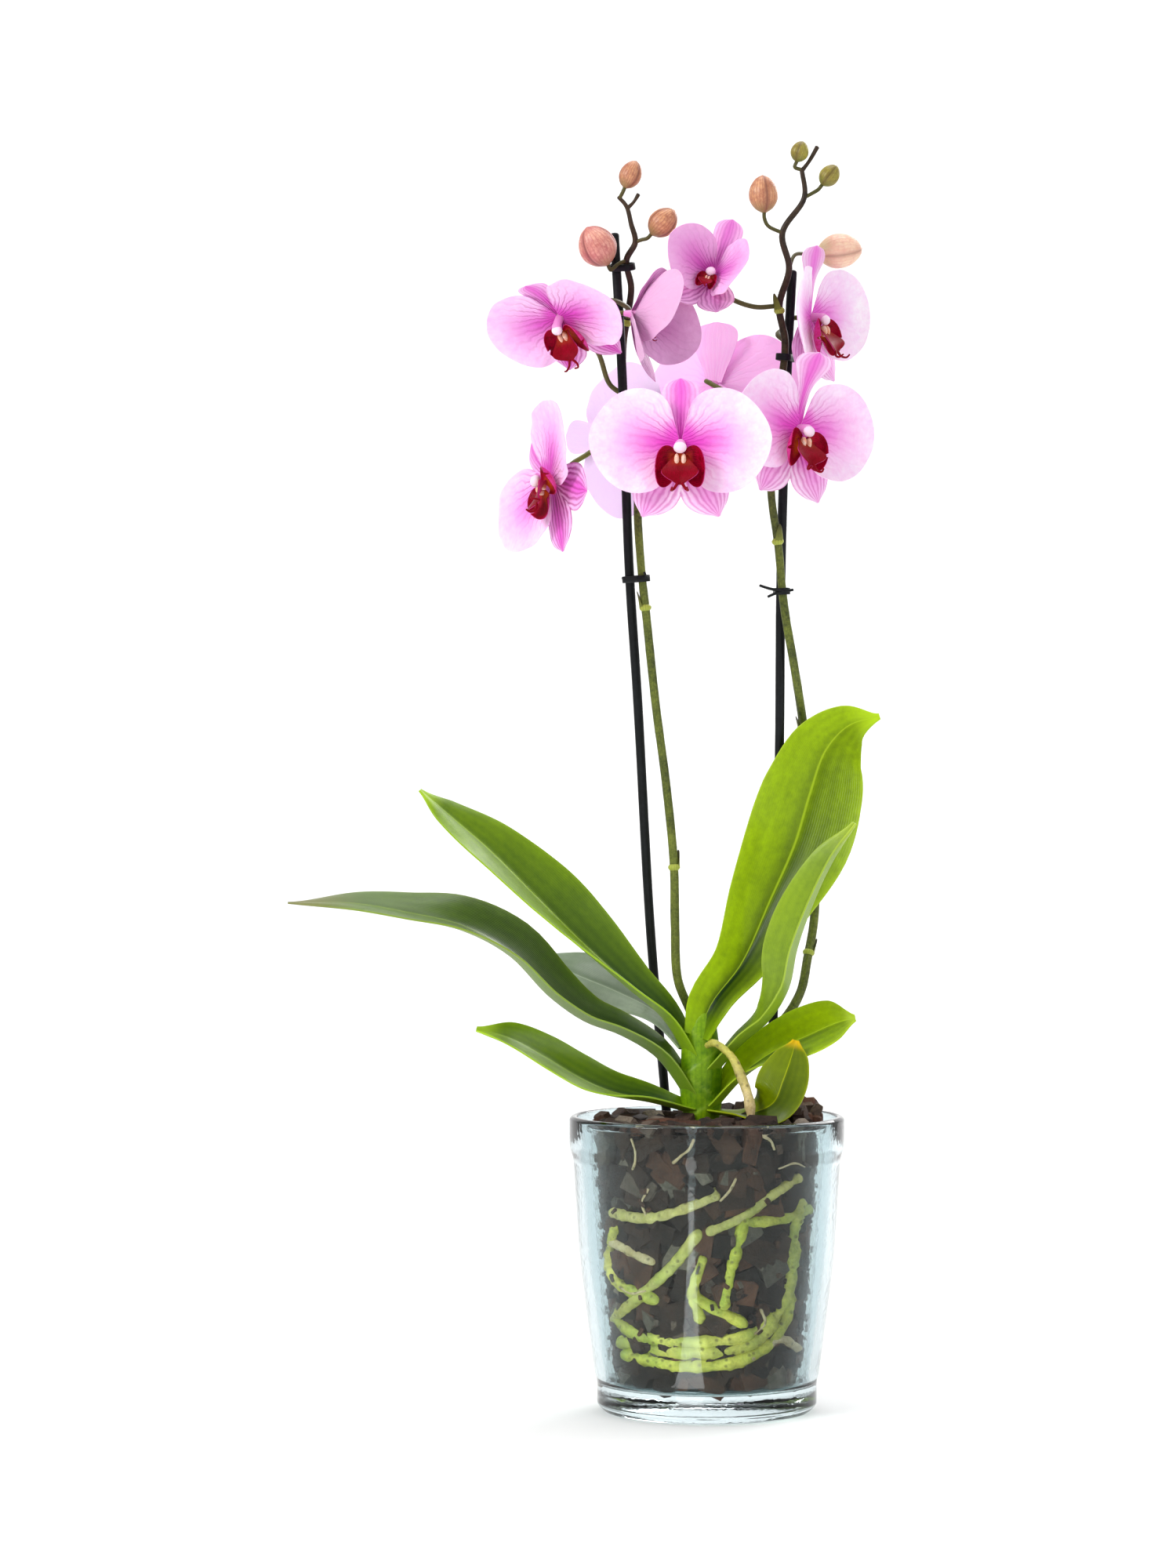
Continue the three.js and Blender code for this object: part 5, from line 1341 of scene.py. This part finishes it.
def petal_material(look):
    """Tint: 0 petal, 0.5 sepal, 1 column; the side; 1 on a lower sepal, or how pale the column is."""
    pale, blush, vein, rear, reach, strength, flush = BLOOM_LOOKS[look]
    made, tree, shader = material("tepals " + look)
    kind, back, white = tint_parts(tree)
    veins = veining(tree, 19.0, 0.1, 0.24)
    fine = veining(tree, 41.0, 0.12, 0.3)
    skin = mottled(tree, blush, pale, 40.0, 300.0, 0.4)
    even = mixed(tree, 0.72, skin["Color"], pale)
    sepal = ranged(tree, kind, (0.0, 0.5))
    near = ranged(tree, veins["Along"], (0.08, reach), (1.0, 0.0), smooth=True)
    middle = worked(tree, "SUBTRACT", veins["Across"], 0.5)
    off = worked(tree, "ABSOLUTE", middle)
    wide = ranged(tree, sepal, given=(0.3, 0.5))
    centre = ranged(tree, off, (0.0, wide), (1.0, 0.2), smooth=True)
    core = ranged(tree, veins["Along"], (0.12, 0.4), (0.95, 0.0), smooth=True)
    ray = worked(tree, "MULTIPLY", near, centre)
    fan = worked(tree, "MAXIMUM", ray, core)
    sepal_part = worked(tree, "MULTIPLY", centre, sepal)
    paler = ranged(tree, white, given=(max(flush, 0.85), flush))
    sepal_blush = worked(tree, "MULTIPLY", sepal_part, paler)
    flushed = worked(tree, "MAXIMUM", fan, sepal_blush)
    blushed = mixed(tree, flushed, even, blush)
    petal_lines = worked(tree, "MULTIPLY_ADD", fine["Veins"], 0.45, veins["Veins"])
    stripes = veining(tree, 8.0, 0.14, 0.42)
    lines = put(tree, "Mix", {0: sepal, 2: petal_lines, 3: stripes["Veins"]}).outputs[0]
    close = worked(tree, "POWER", near, 3.0)
    spread = worked(tree, "MULTIPLY_ADD", close, 0.8, 0.03)
    striped = ranged(tree, white, given=(0.3, 0.62))
    stretch = worked(tree, "MULTIPLY_ADD", sepal, striped, spread)
    drawn = worked(tree, "MULTIPLY", lines, stretch)
    shown = worked(tree, "MULTIPLY", drawn, strength, clamped=True)
    veined = mixed(tree, shown, blushed, vein)
    soft = worked(tree, "MULTIPLY", drawn, 0.3 * strength, clamped=True)
    rear_side = mixed(tree, soft, rear, blush)
    sided = mixed(tree, back, veined, rear_side)
    column = mixed(tree, white, "#D648B8", "#F8DCEC")
    is_column = ranged(tree, kind, (0.6, 0.9))
    whole = mixed(tree, is_column, sided, column)
    height = worked(tree, "MULTIPLY_ADD", veins["Veins"], -1.0, skin["Height"])
    feed(tree, shader, {
        "Base Color": whole,
        "Normal": bumped(tree, height, 0.22, 0.0003),
        "Roughness": 0.5,
        "Sheen Weight": 0.15,
        "Subsurface Weight": 0.35,
        "Subsurface Radius": (0.004, 0.002, 0.003),
    })
    return made


def fanned(t, v):
    """A petal's veins spread from its claw: how far round they turn, and how far from the claw."""
    along, across = t * PETAL_LENGTH, v * outline_at(PETAL_OUTLINE, t)
    return 0.5 + math.atan2(across, along + 4) / math.pi, math.hypot(along, across) / PETAL_LENGTH


def tepal_tint(kind, lower):
    """Gives a point its numbers. The blade's second face is the one that faces forward."""
    return lambda t, v, back: (kind, 1 - back, lower, 1)


TEPAL_ROWS, PETAL_COLUMNS, SEPAL_COLUMNS = crowded(30), crowded(12, -12), crowded(7, -7)
bloom_looks = {look: petal_material(look) for look in BLOOM_LOOKS}
for number, bloom in enumerate(BLOOMS, 1):
    cup, curl = bloom.get("cup", 4), bloom.get("curl", 6)
    sepal = dict(depth=SEPAL_HEIGHT, hollow=-0.05, lift=0.6 * cup - 6, ruffle=SEPAL_RUFFLE)
    dorsal = dict(length=bloom.get("dorsal_length", DORSAL_LENGTH), curl=bloom.get("dorsal_curl", -8),
                  outline=SPOON_OUTLINE if bloom.get("spoon") else DORSAL_OUTLINE,
                  width=bloom.get("dorsal_width", 1), **sepal)
    lateral = dict(length=LATERAL_LENGTH, outline=LATERAL_OUTLINE, curl=curl, **sepal)
    petal = dict(length=PETAL_LENGTH, outline=PETAL_OUTLINE, lift=cup, curl=curl, depth=PETAL_HEIGHT,
                 width=bloom.get("width", 1), ruffle=PETAL_RUFFLE)
    form = Form()
    whorl = [(0, dorsal), (LATERAL_ANGLE, lateral), (-LATERAL_ANGLE, lateral), (PETAL_ANGLE, petal),
             (-PETAL_ANGLE, petal)]
    for k, (angle, shape) in enumerate(whorl):
        surface = tepal_surface(angle, seed=7 * number + k, **shape)
        if shape is petal:
            columns, tint, veins = PETAL_COLUMNS, tepal_tint(0, 0), fanned
        else:
            columns, tint, veins = SEPAL_COLUMNS, tepal_tint(0.5, 1 if shape is lateral else 0), lengthwise
        blade(form, surface, TEPAL_ROWS, columns, TEPAL_THICKNESS, TEPAL_RIM, tint, veins)
    tube(form, COLUMN, 18, 6, COLUMN_TINT)
    ball(form, CAP_MIDDLE, CAP_RADII, CAP_TINT)
    placed(form, bloom)
    form.piece(f"bloom_{number}_tepals", bloom_looks[bloom["look"]], "petal", f"bloom_{number}", crease=80)

# ---------------------------------------------------------------------------------------------------------
# Lips: the third petal of each bloom, crimson and waxy. Two side lobes stand up round the column like
# cupped hands, the middle lobe is an anchor with two curled tendrils, and a pale callus sits between them.
LIP_THICKNESS, LIP_RIM = 0.9, 0.5
SIDE_LOBE = [(0, 4.6), (0.1, 6.2), (0.22, 7.8), (0.4, 8.9), (0.6, 8.6), (0.8, 6.8), (0.94, 3.8), (1, 1)]
MID_LOBE = [(0, 3), (0.2, 4.6), (0.45, 7.6), (0.62, 7.8), (0.78, 5.6), (0.9, 2.8), (1, 1.2)]
LIP_FOOT = Vector((0, -6.5, 3.2))
MID_ROUTE = [tuple(LIP_FOOT), (0, -11.5, 8.6), (0, -15.5, 11.8), (0, -20, 13)]
LIP_SIZE = 1.15
# The right tendril's route, and the right swelling of the callus
TENDRIL = [(0.9, -19.2, 13, 0.7), (2.6, -21.8, 14.2, 0.6), (3.6, -22.4, 16.6, 0.5), (3.2, -21.2, 18.5, 0.42)]
CALLUS, CALLUS_RADII = (1.5, -9.2, 7.0), (1.15, 2.9, 1.9)
TENDRIL_TINT, CALLUS_TINT = (0.5, 0, 0, 1), (1, 0, 0, 1)
SIDE_LOBE_TURN, SIDE_LOBE_REACH = 1.15, 10.2


def lip_material():
    """Tint: 0 side lobes, 0.5 middle lobe, 1 callus; the side; how near the foot."""
    made, tree, shader = material("crimson lip")
    kind, back, foot = tint_parts(tree)
    veins = veining(tree, 19.0, 0.06, 0.3)
    skin = mottled(tree, "#6C0010", "#B00030", 160.0, 900.0, 0.6)
    rear = mottled(tree, "#B8145C", "#D8489A", 160.0, 900.0, 0.6)
    line = worked(tree, "MULTIPLY", veins["Veins"], 0.4)
    lined = mixed(tree, line, skin["Color"], "#4C000C")
    is_middle = ranged(tree, kind, (0.0, 0.5), (0.0, 0.6))
    front = mixed(tree, is_middle, lined, "#7C0010")
    sided = mixed(tree, back, front, rear["Color"])
    warm = mixed(tree, foot, sided, "#DE6A14")
    callus = mottled(tree, "#E8966A", "#F8DCD0", 400.0, 1500.0, 0.5)
    is_callus = ranged(tree, kind, (0.7, 0.9))
    whole = mixed(tree, is_callus, warm, callus["Color"])
    feed(tree, shader, {
        "Base Color": whole,
        "Normal": bumped(tree, veins["Veins"], 0.25, 0.0003),
        "Roughness": 0.34,
        "Specular IOR Level": 0.07,
        "Subsurface Weight": 0.1,
        "Subsurface Radius": (0.003, 0.0006, 0.001),
    })
    return made


def side_lobe(hand):
    """The cupped lobe on the right (1) or the left (-1), which curls forward."""

    def surface(t, v):
        turn = SIDE_LOBE_TURN * t
        across = 1.4 + SIDE_LOBE_REACH * math.sin(turn)
        down = -10.2 - 4.4 * t + 1.6 * t * t + v * outline_at(SIDE_LOBE, t)
        forward = 3.4 + 8 * (1 - math.cos(turn)) + 2.4 * v * v
        return Vector((hand * across, down, forward))

    return surface


def side_tint(hand):
    """Crimson, with an orange patch at its foot."""

    def tint(t, v, back):
        warm = max(0, 0.95 - 2.4 * t) * max(0, 1 - 1.6 * v * v)
        return 0, back if hand > 0 else 1 - back, warm, 1

    return tint


def mid_tint(t, v, back):
    """Crimson, with an orange throat along its middle."""
    return 0.5, back, max(0, 0.6 - 1.5 * t) * (1 - v * v), 1


def mid_lobe(t, v):
    """The anchor-shaped lobe, which reaches down and forward."""
    half = outline_at(MID_LOBE, t)
    centre = curve_point(MID_ROUTE, t)
    return Vector((v * half, centre.y, centre.z + 0.25 * half * v * v))


LIP_ROWS = [i / 16 for i in range(17)]
LIP_COLUMNS = [-1, -0.8, -0.55, -0.28, 0, 0.28, 0.55, 0.8, 1]
crimson = lip_material()
for number, bloom in enumerate(BLOOMS, 1):
    form = Form()
    for hand in (1, -1):
        blade(form, side_lobe(hand), LIP_ROWS, LIP_COLUMNS, LIP_THICKNESS, LIP_RIM, side_tint(hand))
        tube(form, [(hand * x, *rest) for x, *rest in TENDRIL], 10, 7, TENDRIL_TINT)
        ball(form, (hand * CALLUS[0], *CALLUS[1:]), CALLUS_RADII, CALLUS_TINT, 8, 14)
    blade(form, mid_lobe, LIP_ROWS, LIP_COLUMNS, LIP_THICKNESS, LIP_RIM, mid_tint)
    # The more a bloom is cupped, the further forward its lip sits
    cup, scale = bloom.get("cup", 0), bloom.get("lip", LIP_SIZE)
    seat = LIP_FOOT + Vector((0, 1.3 - 0.012 * cup, 0.3 + 0.09 * cup))
    form.points = [tuple((Vector(p) - LIP_FOOT) * scale + seat) for p in form.points]
    placed(form, bloom)
    form.piece(f"lip_{number}_lobes", crimson, "lip", f"bloom_lip_{number}", crease=80)

# ---------------------------------------------------------------------------------------------------------
# The set, in metres: pale paper that lies on the floor and curves up into a backdrop, soft light from large
# lamps and the room, and the camera at the photograph's angle, level with the plant's middle.
PAPER_HALF, FLOOR_REACH, BACKDROP_AT, BACKDROP_HEIGHT, BEND = 1.2, 3.0, 1.6, 3.0, 0.5
PAPER_DROP, PAPER_WHITE = 0.0003, (0.87, 0.87, 0.87, 1)
PLANT_MIDDLE = (0, 0, 0.35)
# Each lamp's place, size and power
LAMPS = {
    "key": ((-1.7, -1.2, 1.5), 1.0, 34),
    "fill": ((1.6, -1.4, 0.9), 1.4, 9),
    "top": ((0.1, 0.2, 2.2), 1.2, 16),
    "behind": ((0.9, 1.2, 1.2), 1.0, 14),
}
STRIP_WIDTH, STRIP_LENGTH, STRIP_POWER, STRIP_HEIGHT = 0.035, 0.45, 0.42, 0.003
STRIP_START, STRIP_TURN = 0.08, math.radians(-14.4)
ROOM_LIGHT = 0.6
CAMERA_PLACE = (-0.0606, -2.120, 0.319)
CAMERA_LENS, CAMERA_SENSOR = 95.4, 36


def paper_material():
    """Matt white paper."""
    made, tree, shader = material("white paper")
    fibre = put(tree, "TexNoise", {"Scale": 300.0, "Detail": 4.0})
    feed(tree, shader, {
        "Normal": bumped(tree, fibre.outputs[0], 0.05, 0.0002),
        "Base Color": PAPER_WHITE,
        "Roughness": 0.9,
    })
    return made


def stood(name, data, place, turn):
    """Puts a thing in its place in the set."""
    obj = bpy.data.objects.new(name, data)
    obj.location, obj.rotation_euler = place, turn
    bpy.context.scene.collection.objects.link(obj)
    return obj


def backdrop():
    """Paper that lies under the pot and rises behind it in one soft bend."""
    bend = [(BACKDROP_AT - BEND + BEND * math.sin(a), BEND - BEND * math.cos(a))
            for a in (math.pi / 2 * k / 12 for k in range(13))]
    profile = [(-FLOOR_REACH, 0.0)] + bend + [(BACKDROP_AT, BACKDROP_HEIGHT)]
    points = [(x, y, z) for x in (-PAPER_HALF, PAPER_HALF) for y, z in profile]
    count = len(profile)
    mesh = bpy.data.meshes.new("backdrop")
    mesh.from_pydata(points, [], [(i, count + i, count + i + 1, i + 1) for i in range(count - 1)])
    mesh.shade_smooth()
    mesh.materials.append(paper_material())
    obj = stood("backdrop", mesh, (0, 0, -PAPER_DROP), (0, 0, 0))


def lamp(name, place, size, power):
    """A round soft lamp that shines on the middle of the plant."""
    light = bpy.data.lights.new(name, "AREA")
    light.shape, light.size, light.energy = "DISK", size, power
    aim = Vector(PLANT_MIDDLE) - Vector(place)
    stood(name, light, place, aim.to_track_quat("-Z", "Y").to_euler())


def floor_strip():
    """A low strip of light in front of the pot, which the leaning glass wall mirrors as an upright streak."""
    light = bpy.data.lights.new("floor strip", "AREA")
    light.shape, light.size, light.size_y, light.energy = "RECTANGLE", STRIP_WIDTH, STRIP_LENGTH, STRIP_POWER
    place = polar(STRIP_START + STRIP_LENGTH / 2, STRIP_TURN - math.pi / 2, STRIP_HEIGHT)
    stood("floor strip", light, place, (math.pi, 0, STRIP_TURN)).visible_camera = False


backdrop()
for name, light in LAMPS.items():
    lamp(name, *light)
floor_strip()

world = bpy.data.worlds.new("soft room")
world.use_nodes = True
feed(world.node_tree, world.node_tree.nodes["Background"], {"Color": "#FFFFFF", "Strength": ROOM_LIGHT})
bpy.context.scene.world = world

camera_data = bpy.data.cameras.new("camera")
camera_data.lens, camera_data.sensor_width = CAMERA_LENS, CAMERA_SENSOR
bpy.context.scene.camera = stood("camera", camera_data, CAMERA_PLACE, (math.pi / 2, 0, 0))
